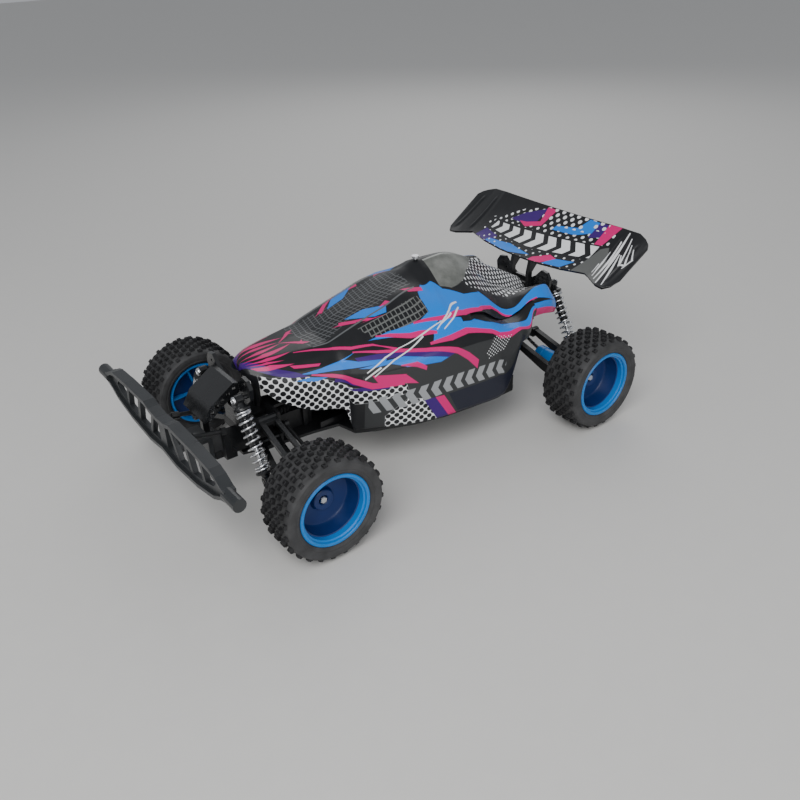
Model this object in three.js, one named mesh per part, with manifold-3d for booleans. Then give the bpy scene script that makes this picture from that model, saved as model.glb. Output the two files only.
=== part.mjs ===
// Remote control buggy: every moulding, axle, spring and gear as its own closed solid.
// Millimetres. +X is forward, +Y is the car's left, +Z is up. The origin is on the
// ground under the middle of the overall length.
import * as THREE from "three";
import { mergeVertices, toCreasedNormals } from "three/addons/utils/BufferGeometryUtils.js";
import Module from "manifold-3d";

const wasm = await Module();
wasm.setup();

// ---------------------------------------------------------------- driving dimensions
const GAP = 0.3;                 // clearance between pieces that touch in the real car
const TYRE_R = 42.5;             // over the knobs
const TYRE_HALF_W = 19;
const WHEEL_FACETS = 24;
const RIM_R = 27.6;              // barrel the tyre sits on
const LIP_R = 28.9;              // bright ring round the outside of the rim
const HALF_WIDTH = 125;          // centreline to the tyre's outer wall
const WHEEL_Y = HALF_WIDTH - TYRE_HALF_W;
const FRONT_X = 135.5;           // front axle
const REAR_X = -141.5;           // rear axle
const FLOOR_Z = 38;              // underside of the chassis
const FLOOR_T = 2.5;
const FLOOR_TOP = FLOOR_Z + FLOOR_T;

const ARM_SPAN = [54, -14];      // inner pivot to outer pivot, across and up
const LOWER_PIVOT = [24, 50];    // front lower arm, y and z
const UPPER_PIVOT = [28, 72];
const KINGPIN_Y = 86;
const STEER_ARM = 17.5;          // kingpin to track rod, rearward
const TRACK_ROD_PIVOT = [28, 61];
const PIN_R = 1.6;
const BORE_R = 1.9;

const REAR_PIVOT = [24, 54];     // rear arm hinge, and the inner end of the drive shaft
const DRUM_R = 8;                // blue drive cup on the inside of the rear wheel
const DRUM_END_Y = 45;
const SHAFT_OUTER_Y = 54;

const SHOCK_TOP = [29, 97];
const SHOCK_FOOT = [60, 42];
const REAR_SHOCK_TOP = [29, 99];
const REAR_SHOCK_FOOT = [60, 45.5];
const SPRING_R = 5.5;
const SPRING_WIRE_R = 0.8;
const SPRING_TURNS = 9;
const SEAT_R = 6.6;
const TOWER_T = 3;
const FRONT_TOWER_X = FRONT_X + 9;
const REAR_TOWER_X = REAR_X - 21.2;
const FRONT_SHOCK_X = FRONT_TOWER_X + TOWER_T + GAP + SEAT_R;
const REAR_SHOCK_X = REAR_TOWER_X - GAP - SEAT_R;

const GEAR_MODULE = 0.8;
const DRIVE_TEETH = 28;
const PINION_TEETH = 10;
const PINION_ANGLE = 65;         // degrees above level, seen from the drive gear
const RACK_MODULE = 1;
const SERVO_TEETH = 16;

const BUMPER_X = 198.5;           // rear face of the bumper
const BUMPER_DEPTH = 9;
const WALL = 1.4;                // moulded body shell

// Body shell stations, front to back: x, then the outer skin as [y, z] from the
// centre crest down to the bottom edge.
const SHELL = [
  [137, [0, 110.5], [4, 110.3], [8, 109.4], [11, 107.6], [13, 105.4], [14, 103], [14.4, 100.5]],
  [132, [0, 112.6], [7, 112.2], [12, 110.2], [16, 107], [19, 103], [20.5, 98.5], [21, 94]],
  [122, [0, 114], [12, 113.2], [19, 109.8], [24, 104.8], [27.5, 98.5], [29.2, 91], [29, 83]],
  [110, [0, 114.5], [16, 113.6], [23.5, 109.4], [29, 103.6], [33, 96.5], [35, 86], [34.5, 76]],
  [97, [0, 115], [19, 114], [27, 109.4], [33, 103], [37, 95], [39, 84], [38.5, 70]],
  [74, [0, 116.5], [24, 114.5], [33, 109], [39, 103], [44, 94], [46, 80], [45, 65]],
  [67, [0, 118], [25, 116.5], [34.5, 110.5], [42, 104], [48, 94], [50, 72], [47, 43]],
  [50, [0, 123.5], [25, 121.5], [37, 114], [48, 106], [56, 94.5], [57.5, 70], [55, 43]],
  [20, [0, 131.5], [25, 129.5], [42, 119], [55, 109.5], [65.5, 97], [68, 70], [67, 42]],
  [-6, [0, 139], [22, 136], [43, 125.5], [58, 115.5], [71, 100], [74, 70], [73.5, 41.5]],
  [-22, [0, 145.5], [19, 136.5], [44, 127], [59, 117.5], [73, 101], [76, 70], [75, 41.2]],
  [-34, [0, 150], [13, 144], [30, 132], [59, 118], [74, 101], [77.5, 70], [76.5, 41]],
  [-58, [0, 149.5], [14, 142], [40, 125.5], [58.5, 113.5], [75.5, 99.5], [79, 70], [78, 40.5]],
  [-65, [0, 148.5], [14.5, 140.1], [42.6, 122.2], [58.3, 108.8], [75.5, 98.5], [79, 68], [78, 42]],
  [-72, [0, 146.5], [15, 137], [45, 118], [58, 103.5], [75.5, 97.5], [79, 70], [77.5, 49.5]],
  [-83, [0, 142], [16, 130], [48, 109.5], [57, 99.5], [75.5, 96.5], [78, 85], [77, 77]],
  [-86, [0, 140.5], [16, 128], [49, 107.5], [57, 99.5], [75.5, 96], [77, 91], [76.5, 84]],
  [-99, [0, 134], [18, 117], [50, 104.5], [56, 101.5], [72, 93], [73, 88], [72, 84]],
  [-115, [0, 125.5], [20, 107], [49, 111], [56, 106.5], [61, 101], [61.5, 97], [60, 92]],
  [-128, [0, 118.5], [20, 100.5], [48.5, 115], [57, 106], [59, 100], [59, 95.5], [57.5, 90.5]],
  [-140, [0, 111.5], [19, 96], [47, 113.5], [55.5, 103], [57, 97.5], [57, 93], [55.5, 87.5]],
  [-152, [0, 104.5], [17, 91], [44, 101], [50, 95], [51.5, 91], [51.5, 87.5], [50, 83]],
];

// Wing stations from the centre out: y, front edge [x, z], rear edge [x, z].
const WING = [
  [0, [-150, 121], [-203, 153.5]],
  [24, [-151, 121], [-203, 153.5]],
  [50, [-155, 121.5], [-204, 153.5]],
  [73, [-161, 122.5], [-205, 153.5]],
  [77, [-160, 121.5], [-206, 153]],
  [91, [-154, 119.5], [-208.5, 151.8]],
  [99, [-153.5, 119], [-206, 149.6]],
  [104, [-159, 120.6], [-203, 147.6]],
  [107, [-168, 124], [-198, 145]],
];
const WING_T = 2.2;
const WING_CAMBER = 2.5;

// Floor outline, left side, front to back.
const FLOOR_EDGE = [
  [150, 13], [120, 19], [90, 22], [69, 26], [65, 43], [50, 51.5], [20, 63.5],
  [-6, 70], [-34, 73], [-60, 74.5], [-80, 73.5], [-84, 70], [-88, 34], [-121, 26],
];

// ---------------------------------------------------------------- solids and booleans
// Geometry to a manifold: shared corners welded, slivers of zero area dropped.
function solid(geometry) {
  const bare = new THREE.BufferGeometry();
  bare.setAttribute("position", geometry.attributes.position.clone());
  if (geometry.index) bare.setIndex(geometry.index.clone());
  const welded = mergeVertices(bare, 1e-4);
  const index = welded.index.array;
  const tris = [];
  for (let i = 0; i < index.length; i += 3) {
    const [a, b, c] = [index[i], index[i + 1], index[i + 2]];
    if (a !== b && b !== c && c !== a) tris.push(a, b, c);
  }
  const build = (list) => new wasm.Manifold(new wasm.Mesh({
    numProp: 3,
    vertProperties: new Float32Array(welded.attributes.position.array),
    triVerts: new Uint32Array(list),
  }));
  const first = build(tris);
  if (first.volume() > 0) return first;
  const flipped = [];
  for (let i = 0; i < tris.length; i += 3) flipped.push(tris[i], tris[i + 2], tris[i + 1]);
  return build(flipped);
}

function toGeometry(shape) {
  const data = shape.getMesh();
  const points = [];
  for (let i = 0; i < data.vertProperties.length; i += data.numProp) {
    points.push(data.vertProperties[i], data.vertProperties[i + 1], data.vertProperties[i + 2]);
  }
  const geometry = new THREE.BufferGeometry();
  geometry.setAttribute("position", new THREE.Float32BufferAttribute(points, 3));
  geometry.setIndex(Array.from(data.triVerts));
  return geometry;
}

const join = (...shapes) => shapes.reduce((a, b) => a.add(b));
const cut = (shape, ...tools) => tools.reduce((a, b) => a.subtract(b), shape);

function box(x0, x1, y0, y1, z0, z1) {
  const g = new THREE.BoxGeometry(x1 - x0, y1 - y0, z1 - z0);
  return solid(g.translate((x0 + x1) / 2, (y0 + y1) / 2, (z0 + z1) / 2));
}

const facets = (r) => (r < 2.5 ? 8 : 10);

// Round bar between two points; r1 makes it a cone.
function bar(from, to, r0, segments = facets(r0), r1 = r0) {
  const a = new THREE.Vector3(...from);
  const b = new THREE.Vector3(...to);
  const along = b.clone().sub(a);
  const g = new THREE.CylinderGeometry(r1, r0, along.length(), segments);
  g.translate(0, along.length() / 2, 0);
  g.applyQuaternion(new THREE.Quaternion().setFromUnitVectors(
    new THREE.Vector3(0, 1, 0), along.clone().normalize()));
  return solid(g.translate(a.x, a.y, a.z));
}

const barX = (x0, x1, y, z, r, n = facets(r)) => bar([x0, y, z], [x1, y, z], r, n);
const barY = (y0, y1, x, z, r, n = facets(r)) => bar([x, y0, z], [x, y1, z], r, n);
const barZ = (z0, z1, x, y, r, n = facets(r)) => bar([x, y, z0], [x, y, z1], r, n);

const outline = (points) => new THREE.Shape(points.map(([a, b]) => new THREE.Vector2(a, b)));

// Plates cut from an outline: flat on Z, facing X, or facing Y.
function plateZ(points, z0, z1) {
  const g = new THREE.ExtrudeGeometry(outline(points), { depth: z1 - z0, bevelEnabled: false });
  return solid(g.translate(0, 0, z0));
}

function plateX(points, x0, x1, holes = []) {
  const g = new THREE.ExtrudeGeometry(outline(points), { depth: x1 - x0, bevelEnabled: false });
  g.applyMatrix4(new THREE.Matrix4().makeBasis(
    new THREE.Vector3(0, 1, 0), new THREE.Vector3(0, 0, 1), new THREE.Vector3(1, 0, 0)));
  return cut(solid(g.translate(x0, 0, 0)), ...holes.map((hole) => plateX(hole, x0 - 1, x1 + 1)));
}

function plateY(points, y0, y1) {
  const g = new THREE.ExtrudeGeometry(outline(points), { depth: y1 - y0, bevelEnabled: false });
  g.applyMatrix4(new THREE.Matrix4().makeBasis(
    new THREE.Vector3(1, 0, 0), new THREE.Vector3(0, 0, 1), new THREE.Vector3(0, -1, 0)));
  return solid(g.translate(0, y1, 0));
}

// Turned piece: profile of [radius, along] about the Y axis, placed at a centre.
function turnY(profile, centre, segments = 40) {
  const g = new THREE.LatheGeometry(profile.map(([r, s]) => new THREE.Vector2(r, s)), segments);
  return solid(g.translate(...centre));
}

function mirrored(geometry) {
  const g = geometry.clone().scale(1, -1, 1);
  const index = g.index.array;
  for (let i = 0; i < index.length; i += 3) {
    [index[i + 1], index[i + 2]] = [index[i + 2], index[i + 1]];
  }
  return g;
}

// Closed skin from two matching grids of points, outer and inner, open at the rim.
function thinSkin(outer, inner) {
  const rows = outer.length;
  const cols = outer[0].length;
  const points = [...outer.flat(), ...inner.flat()].flat();
  const at = (side, r, c) => side * rows * cols + r * cols + c;
  const tris = [];
  const quad = (a, b, c, d) => tris.push(a, b, c, a, c, d);
  for (let r = 0; r + 1 < rows; r += 1) {
    for (let c = 0; c + 1 < cols; c += 1) {
      quad(at(0, r, c), at(0, r, c + 1), at(0, r + 1, c + 1), at(0, r + 1, c));
      quad(at(1, r, c), at(1, r + 1, c), at(1, r + 1, c + 1), at(1, r, c + 1));
    }
  }
  for (let r = 0; r + 1 < rows; r += 1) {
    quad(at(0, r, 0), at(0, r + 1, 0), at(1, r + 1, 0), at(1, r, 0));
    quad(at(0, r + 1, cols - 1), at(0, r, cols - 1), at(1, r, cols - 1), at(1, r + 1, cols - 1));
  }
  for (let c = 0; c + 1 < cols; c += 1) {
    quad(at(0, 0, c + 1), at(0, 0, c), at(1, 0, c), at(1, 0, c + 1));
    quad(at(0, rows - 1, c), at(0, rows - 1, c + 1), at(1, rows - 1, c + 1), at(1, rows - 1, c));
  }
  const g = new THREE.BufferGeometry();
  g.setAttribute("position", new THREE.Float32BufferAttribute(points, 3));
  g.setIndex(tris);
  return solid(g);
}

// ---------------------------------------------------------------- gears
// Involute outline, with the flanks thinned for backlash.
function gearOutline(module, teeth, backlash, turn = 0) {
  const pitch = (module * teeth) / 2;
  const base = pitch * Math.cos(THREE.MathUtils.degToRad(20));
  const tip = pitch + 0.9 * module;
  const root = pitch - 1.2 * module;
  const spread = (r) => {
    const t = Math.sqrt(Math.max(0, (r * r) / (base * base) - 1));
    return t - Math.atan(t);
  };
  const half = Math.PI / (2 * teeth) - backlash / pitch / 2;
  const points = [];
  const radii = [root, (Math.max(root, base) + tip) / 2, tip];
  for (let k = 0; k < teeth; k += 1) {
    const middle = turn + (k * 2 * Math.PI) / teeth;
    const angle = (r) => half + spread(pitch) - spread(r);
    for (const r of radii) {
      points.push([r * Math.cos(middle - angle(r)), r * Math.sin(middle - angle(r))]);
    }
    for (const r of radii.slice().reverse()) {
      points.push([r * Math.cos(middle + angle(r)), r * Math.sin(middle + angle(r))]);
    }
  }
  return points;
}

// Gear lying flat on Z, or standing across the car with its axis on Y.
function gearZ(module, teeth, centre, z0, z1, backlash, turn) {
  const points = gearOutline(module, teeth, backlash, turn);
  return plateZ(points.map(([a, b]) => [a + centre[0], b + centre[1]]), z0, z1);
}

function gearY(module, teeth, centre, y0, y1, backlash, turn) {
  const shape = outline(gearOutline(module, teeth, backlash, turn));
  const g = new THREE.ExtrudeGeometry(shape, { depth: y1 - y0, bevelEnabled: false });
  g.applyMatrix4(new THREE.Matrix4().makeBasis(
    new THREE.Vector3(1, 0, 0), new THREE.Vector3(0, 0, 1), new THREE.Vector3(0, -1, 0)));
  return solid(g.translate(centre[0], y1, centre[1]));
}

// ---------------------------------------------------------------- wheels
function tyre(x) {
  const w = TYRE_HALF_W;
  const bore = RIM_R + GAP;
  const bead = LIP_R + GAP;
  const half = [
    [bore, 14.6], [bead, 14.6], [bead + 0.2, 17.6], [37.5, w], [TYRE_R, 15.2],
  ];
  const profile = [...half, ...half.slice().reverse().map(([r, s]) => [r, -s]), half[0]];
  return turnY(profile, [x, WHEEL_Y, TYRE_R], WHEEL_FACETS);
}

// Rim with a deep outside dish, spokes on the inside and a blind bore for the axle.
function rim(x, driven) {
  const profile = [
    [2.3, -10], [6.5, -10], [6.5, -7.5], [24, -7.5], [25.4, -15.9], [RIM_R, -15.9],
    [RIM_R, 14.9], [LIP_R, 14.9], [LIP_R, 17.4], [25.9, 17.4], [23.8, -2.5],
    [0, -2.5], [0, -4], [2.3, -4], [2.3, -10],
  ];
  let wheel = turnY(profile, [x, WHEEL_Y, TYRE_R], WHEEL_FACETS);
  for (let k = 0; k < 5; k += 1) {
    const a = (k * Math.PI * 2) / 5;
    const across = [Math.cos(a), Math.sin(a)];
    const from = [x + 5.5 * across[0], WHEEL_Y - 8.8, TYRE_R + 5.5 * across[1]];
    const to = [x + 25.6 * across[0], WHEEL_Y - 10.4, TYRE_R + 25.6 * across[1]];
    wheel = join(wheel, bar(from, to, 1.7, 4));
  }
  if (!driven) return wheel;
  const cup = turnY([
    [0, 61], [DRUM_R, 61], [DRUM_R, 97.5], [0, 97.5],
  ], [x, 0, TYRE_R], 16);
  const mouth = turnY([
    [4.2, DRUM_END_Y + 5], [6.2, DRUM_END_Y + 5], [6.2, DRUM_END_Y], [DRUM_R, DRUM_END_Y],
    [DRUM_R, 61.2], [4.2, 61.2], [4.2, DRUM_END_Y + 5],
  ], [x, 0, TYRE_R], 16);
  const slot = box(x - 5.7, x + 5.7, DRUM_END_Y + 4.9, 60, TYRE_R - 1.4, TYRE_R + 1.4);
  const fill = bar([x, 97, TYRE_R], [x, 103, TYRE_R], 6);
  return join(wheel, cut(join(cup, mouth), slot), fill);
}

// ---------------------------------------------------------------- front suspension, left
const [LY, LZ] = LOWER_PIVOT;
const [UY, UZ] = UPPER_PIVOT;
const [OUT_Y, OUT_Z] = [LY + ARM_SPAN[0], LZ + ARM_SPAN[1]];
const [TOP_Y, TOP_Z] = [UY + ARM_SPAN[0], UZ + ARM_SPAN[1]];

// Flat plate drawn in plan and tilted so that it runs from the inner to the outer pivot.
function slopedPlate(points, thickness, pivot, holes = []) {
  const g = new THREE.ExtrudeGeometry(outline(points), { depth: thickness, bevelEnabled: false });
  g.translate(0, 0, -thickness / 2);
  g.rotateX(Math.atan2(ARM_SPAN[1], ARM_SPAN[0]));
  const plate = solid(g.translate(0, pivot[0], pivot[1]));
  return cut(plate, ...holes.map((hole) => slopedPlate(hole, thickness + 2, pivot)));
}

function frontLowerArm() {
  const reach = Math.hypot(...ARM_SPAN);
  const plan = [
    [123.6, 0], [141.2, 0], [141.2, 6], [147, 32], [147.4, 42], [144.6, reach - 8], [144.6, reach - 4.4],
    [126.4, reach - 4.4], [126.4, reach - 8],
  ];
  const holes = [
    [[129, 7], [137.5, 7], [141, 27], [129.8, 24]],
    [[130.3, 28.5], [141.5, 31.5], [141, 39], [131, 39]],
  ];
  const plate = slopedPlate(plan, 4.4, LOWER_PIVOT, holes);
  const barrel = barX(123.6, 141.2, LY, LZ, 3.4);
  const tips = [[126.4, 129.4], [141.6, 144.6]].map(([a, b]) => join(
    barX(a, b, OUT_Y, OUT_Z, 3.4),
    box(a, b, OUT_Y - 6, OUT_Y - 1, OUT_Z - 1.2, OUT_Z + 2.6)));
  const pin = barX(127, 144, OUT_Y, OUT_Z, PIN_R);
  const boss = barX(144.6, FRONT_SHOCK_X - 3.6, ...SHOCK_FOOT, 3);
  const foot = barX(145, FRONT_SHOCK_X + 3.3, ...SHOCK_FOOT, PIN_R);
  const web = box(144.5, 147.4, SHOCK_FOOT[0] - 3, SHOCK_FOOT[0] + 3, 37.5, 42);
  return cut(join(plate, barrel, ...tips, pin, boss, web, foot), barX(120, 150, LY, LZ, BORE_R));
}

function frontUpperArm() {
  const reach = Math.hypot(...ARM_SPAN);
  const plan = [
    [126.3, 0], [141.4, 0], [143.6, reach - 14], [143.6, reach - 3.6], [140.4, reach - 3.6], [139.6, reach - 12],
    [131.4, reach - 12], [130.6, reach - 3.6], [127.4, reach - 3.6],
  ];
  const holes = [[[130, 6], [137.6, 6], [139.8, reach - 16], [130.4, reach - 16]]];
  const plate = slopedPlate(plan, 3, UPPER_PIVOT, holes);
  const barrel = barX(126.3, 141.4, UY, UZ, 3);
  const tips = [[127.4, 130.6], [140.4, 143.6]].map(([a, b]) => barX(a, b, TOP_Y, TOP_Z, 2.8));
  const links = [[127.4, 130.6], [140.4, 143.6]].map(([a, b]) => box(
    a, b, TOP_Y - 4, TOP_Y - 1, TOP_Z - 1, TOP_Z + 2.2));
  const pin = barX(128, 143, TOP_Y, TOP_Z, 1.4);
  return cut(join(plate, barrel, ...tips, ...links, pin), barX(120, 150, UY, UZ, BORE_R));
}

function hubCarrier() {
  const web = join(box(129.8, 141.2, 75, 80.4, 27.6, 49), box(131, 140, 75, 80.4, 48, 57));
  const lugs = [[27.6, 31], [54, 57]].map(([a, b]) => join(
    box(131, 140, 78, KINGPIN_Y, a, b), barZ(a, b, FRONT_X, KINGPIN_Y, 4.5)));
  const ear = box(131, 140, 78.6, 84.6, 56.5, 61.4);
  const bores = [
    barX(125, 146, OUT_Y, OUT_Z, BORE_R),
    barX(125, 146, TOP_Y, TOP_Z, 1.7),
    barZ(26, 57.4, FRONT_X, KINGPIN_Y, BORE_R),
  ];
  const heel = join(barX(129.8, 141.2, OUT_Y, OUT_Z, 3.4));
  return cut(join(web, ...lugs, ear, heel), ...bores);
}

function knuckle() {
  const post = barZ(31.3, 53.7, FRONT_X, KINGPIN_Y, 4.6);
  const pins = barZ(27.8, 56.8, FRONT_X, KINGPIN_Y, PIN_R);
  const flange = barY(89, 93, FRONT_X, TYRE_R, 7);
  const block = box(FRONT_X - 4.6, FRONT_X + 4.6, KINGPIN_Y, 90, 36, 49);
  const axle = barY(90, 101.6, FRONT_X, TYRE_R, 2);
  const z = TRACK_ROD_PIVOT[1] + ARM_SPAN[1];
  const arm = box(FRONT_X - STEER_ARM - 2.6, FRONT_X - 3, KINGPIN_Y - 3, KINGPIN_Y + 3, z - 5.2, z - 2.4);
  const stud = barZ(z - 5, z + 2.4, FRONT_X - STEER_ARM, KINGPIN_Y, 1.4);
  return join(post, pins, flange, block, axle, arm, stud);
}

function trackRod() {
  const x = FRONT_X - STEER_ARM;
  const [y0, z0] = TRACK_ROD_PIVOT;
  const [y1, z1] = [KINGPIN_Y, z0 + ARM_SPAN[1]];
  const eye = barX(x - 1.6, x + 1.6, y0, z0, 3.4);
  const rod = bar([x, y0 + 2.6, z0 - 0.6], [x, y1 - 6.6, z1 + 0.2], 1.5, 12);
  const pad = box(x - 4.4, x + 5.6, y1 - 8, y1 + 3.9, z1 - 1.4, z1 + 1.4);
  const slot = join(barZ(z1 - 2, z1 + 2, x, y1, 2.2), barZ(z1 - 2, z1 + 2, x + 1.4, y1, 2.2),
    box(x, x + 1.4, y1 - 2.2, y1 + 2.2, z1 - 2, z1 + 2));
  return cut(join(eye, rod, pad), barX(x - 3, x + 3, y0, z0, 1.8), slot);
}

// ---------------------------------------------------------------- shock absorbers
// Point a given distance down the shock from its top eye.
function shockFrame(top, foot, x) {
  const a = new THREE.Vector3(x, top[0], top[1]);
  const b = new THREE.Vector3(x, foot[0], foot[1]);
  const along = b.clone().sub(a);
  const length = along.length();
  along.normalize();
  const at = (s) => a.clone().addScaledVector(along, s).toArray();
  return { a, along, length, at };
}

function shockCylinder(top, foot, x) {
  const { at } = shockFrame(top, foot, x);
  const eye = barX(x - 3, x + 3, top[0], top[1], 3.8);
  const neck = bar(at(2), at(6), 3);
  const cap = bar(at(5), at(8), SEAT_R, 12);
  const barrel = bar(at(7), at(37), 3.7, 10);
  return cut(join(eye, neck, cap, barrel), barX(x - 4, x + 4, top[0], top[1], BORE_R),
    bar(at(10), at(38), 1.9));
}

function shockRod(top, foot, x) {
  const { at, length } = shockFrame(top, foot, x);
  const shaft = bar(at(24), at(length - 3), 1.5);
  const seat = bar(at(length - 7.5), at(length - 5.5), SEAT_R, 12);
  const neck = bar(at(length - 6), at(length - 2), 3);
  const eye = barX(x - 3, x + 3, foot[0], foot[1], 4);
  return cut(join(shaft, seat, neck, eye), barX(x - 4, x + 4, foot[0], foot[1], 2.3));
}

class Helix extends THREE.Curve {
  constructor(radius, height, turns) {
    super();
    Object.assign(this, { radius, height, turns });
  }

  getPoint(t, target = new THREE.Vector3()) {
    const a = t * this.turns * Math.PI * 2;
    return target.set(this.radius * Math.cos(a), t * this.height, this.radius * Math.sin(a));
  }
}

function coilSpring(top, foot, x) {
  const { a, along, length } = shockFrame(top, foot, x);
  const start = 8 + GAP + SPRING_WIRE_R;
  const end = length - 7.5 - GAP - SPRING_WIRE_R;
  const wire = new THREE.Shape();
  for (let k = 0; k < 4; k += 1) {
    const t = (k * Math.PI) / 2;
    const [u, v] = [SPRING_WIRE_R * Math.cos(t), SPRING_WIRE_R * Math.sin(t)];
    if (k === 0) wire.moveTo(u, v);
    else wire.lineTo(u, v);
  }
  const g = new THREE.ExtrudeGeometry(wire, {
    steps: SPRING_TURNS * 6,
    bevelEnabled: false,
    extrudePath: new Helix(SPRING_R, end - start, SPRING_TURNS),
  });
  g.translate(0, start, 0);
  g.applyQuaternion(new THREE.Quaternion().setFromUnitVectors(new THREE.Vector3(0, 1, 0), along));
  return solid(g.translate(a.x, a.y, a.z));
}

const TOWER_HOLES = [[11, 94], [16, 97.5], [21, 101], [26, 105]];

// Gull-shaped plate with a row of mounting holes along each arm.
function shockTower(x, pinTo, top) {
  const rise = top[1] - 97;
  const half = [
    [0, 99 + rise], [9, 99 + rise], [17, 104 + rise], [24, 111 + rise], [31, 110 + rise],
    [35, 104 + rise], [34, 95 + rise], [27, 89 + rise], [19, 85 + rise], [15, 78], [15, 60],
  ];
  const points = [...half, ...half.slice(1).reverse().map(([y, z]) => [-y, z])];
  let tower = plateX(points, x, x + TOWER_T);
  tower = cut(tower, plateX([[-8, 74], [8, 74], [6, 88], [-6, 88]], x - 1, x + TOWER_T + 1));
  for (const side of [-1, 1]) {
    for (const [y, z] of TOWER_HOLES) {
      tower = cut(tower, barX(x - 1, x + TOWER_T + 1, side * y, z + rise, 1.3, 6));
    }
    const from = pinTo > x ? x + 1 : x + TOWER_T - 1;
    tower = join(tower, barX(Math.min(from, pinTo), Math.max(from, pinTo), side * top[0], top[1], PIN_R));
  }
  return tower;
}

// ---------------------------------------------------------------- rear suspension, left
const [RY, RZ] = REAR_PIVOT;

function rearArm() {
  const ring = cut(barY(68, 80, REAR_X, TYRE_R, 11.4, 16),
    barY(67, 81, REAR_X, TYRE_R, DRUM_R + 2 * GAP, 16));
  const side = (s) => {
    const a = REAR_X + s * 11;
    const b = REAR_X + s * 17;
    const [x0, x1] = [Math.min(a, b), Math.max(a, b)];
    const leg = [[RY, RZ + 2.4], [RY, RZ - 2.6], [64, 38.6], [70, 37.5], [79, 37.5], [79, 46], [70, 46]];
    const barrel = barX(x0, x1, RY, RZ, 3.4);
    return join(plateX(leg, x0 + 0.5, x1 - 0.5), barrel);
  };
  const bridge = [-1, 1].map((s) => {
    const a = REAR_X + s * 9.6;
    const b = REAR_X + s * 14;
    return box(Math.min(a, b), Math.max(a, b), 69, 79, 38.5, 45.5);
  });
  const boss = barX(REAR_TOWER_X - 3, REAR_X - 14, ...REAR_SHOCK_FOOT, 3);
  const foot = barX(REAR_SHOCK_X - 3.3, REAR_X - 14, ...REAR_SHOCK_FOOT, PIN_R);
  const hinge = barX(REAR_X - 20, REAR_X + 20, RY, RZ, BORE_R);
  return cut(join(ring, side(1), side(-1), ...bridge, boss, foot), hinge);
}

// Shaft with a ball and cross pin at each end.
function driveShaft() {
  const a = [REAR_X, RY, RZ];
  const b = [REAR_X, SHAFT_OUTER_Y, TYRE_R];
  const ball = (at) => solid(new THREE.SphereGeometry(3.1, 8, 5).translate(...at));
  const pin = (at) => barX(at[0] - 4.6, at[0] + 4.6, at[1], at[2], 0.9, 6);
  return join(bar(a, b, 1.5), ball(a), ball(b), pin(a), pin(b));
}

const PITCH_SUM = (GEAR_MODULE * (DRIVE_TEETH + PINION_TEETH)) / 2;
const PINION_X = REAR_X + PITCH_SUM * Math.cos(THREE.MathUtils.degToRad(PINION_ANGLE));
const PINION_Z = RZ + PITCH_SUM * Math.sin(THREE.MathUtils.degToRad(PINION_ANGLE));

function driveGear() {
  const gear = gearY(GEAR_MODULE, DRIVE_TEETH, [REAR_X, RZ], -3, 3, 0.24,
    THREE.MathUtils.degToRad(PINION_ANGLE));
  const shaft = barY(-14, 14, REAR_X, RZ, 2.8);
  const cup = (s) => {
    const [y0, y1] = s > 0 ? [13, 27] : [-27, -13];
    const [h0, h1] = s > 0 ? [19.5, 28] : [-28, -19.5];
    return cut(barY(y0, y1, REAR_X, RZ, 5.2, 14), barY(h0, h1, REAR_X, RZ, 3.7, 14),
      box(REAR_X - 6, REAR_X + 6, h0, h1, RZ - 1.4, RZ + 1.4));
  };
  return join(gear, shaft, cup(1), cup(-1));
}

function motorPinion() {
  // One tooth of the pinion faces away from the drive gear, so that a gap faces it.
  const turn = THREE.MathUtils.degToRad(PINION_ANGLE) + Math.PI + Math.PI / PINION_TEETH;
  const gear = gearY(GEAR_MODULE, PINION_TEETH, [PINION_X, PINION_Z], -3.6, 3.6, 0.24, turn);
  return join(gear, barY(-22, 5, PINION_X, PINION_Z, 1));
}

// Half of the gear case, left side; the motor side also has a hole for its shaft.
function gearboxHalf(motorSide) {
  const body = join(
    barY(0.15, 11, REAR_X, RZ, 14.2, 16),
    barY(0.15, 11, PINION_X, PINION_Z, 7, 14),
    box(REAR_X - 7, PINION_X + 5, 0.15, 11, RZ + 6, PINION_Z + 2),
    box(REAR_X + 4, -122, 0.15, 11, 41, 66));
  const cavity = join(
    barY(-1, 9, REAR_X, RZ, 12.6, 16),
    barY(-1, 9, PINION_X, PINION_Z, 5.4, 14),
    box(REAR_X - 4, PINION_X + 3, -1, 9, RZ + 6, PINION_Z));
  const ears = [-1, 1].map((s) => {
    const a = REAR_X + s * 8;
    const b = REAR_X + s * 10.7;
    return box(Math.min(a, b), Math.max(a, b), 9.5, 28, RZ - 4, RZ + 4);
  });
  const pins = [-1, 1].map((s) => {
    const a = REAR_X + s * 10;
    const b = REAR_X + s * 17.6;
    return barX(Math.min(a, b), Math.max(a, b), RY, RZ, PIN_R);
  });
  const pad = box(-158.5, -150, 0.15, 11, 60, 72);
  const padRoom = barY(-1, 9, REAR_X, RZ, 12.6, 16);
  const half = cut(join(body, pad), cavity, padRoom, barY(8, 12, REAR_X, RZ, 3.2));
  const drilled = motorSide ? cut(half, barY(8, 12, PINION_X, PINION_Z, 1.6)) : half;
  return join(drilled, ...ears, ...pins);
}

// ---------------------------------------------------------------- chassis and fixed parts
const PACK = { x0: -56, x1: 6, halfY: 17 };
const HINGE = { x: -60, z: 39.6 };
const SWITCH_X = 34;
const SNOUT_X = 172;
const POST_Y = 19;

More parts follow.
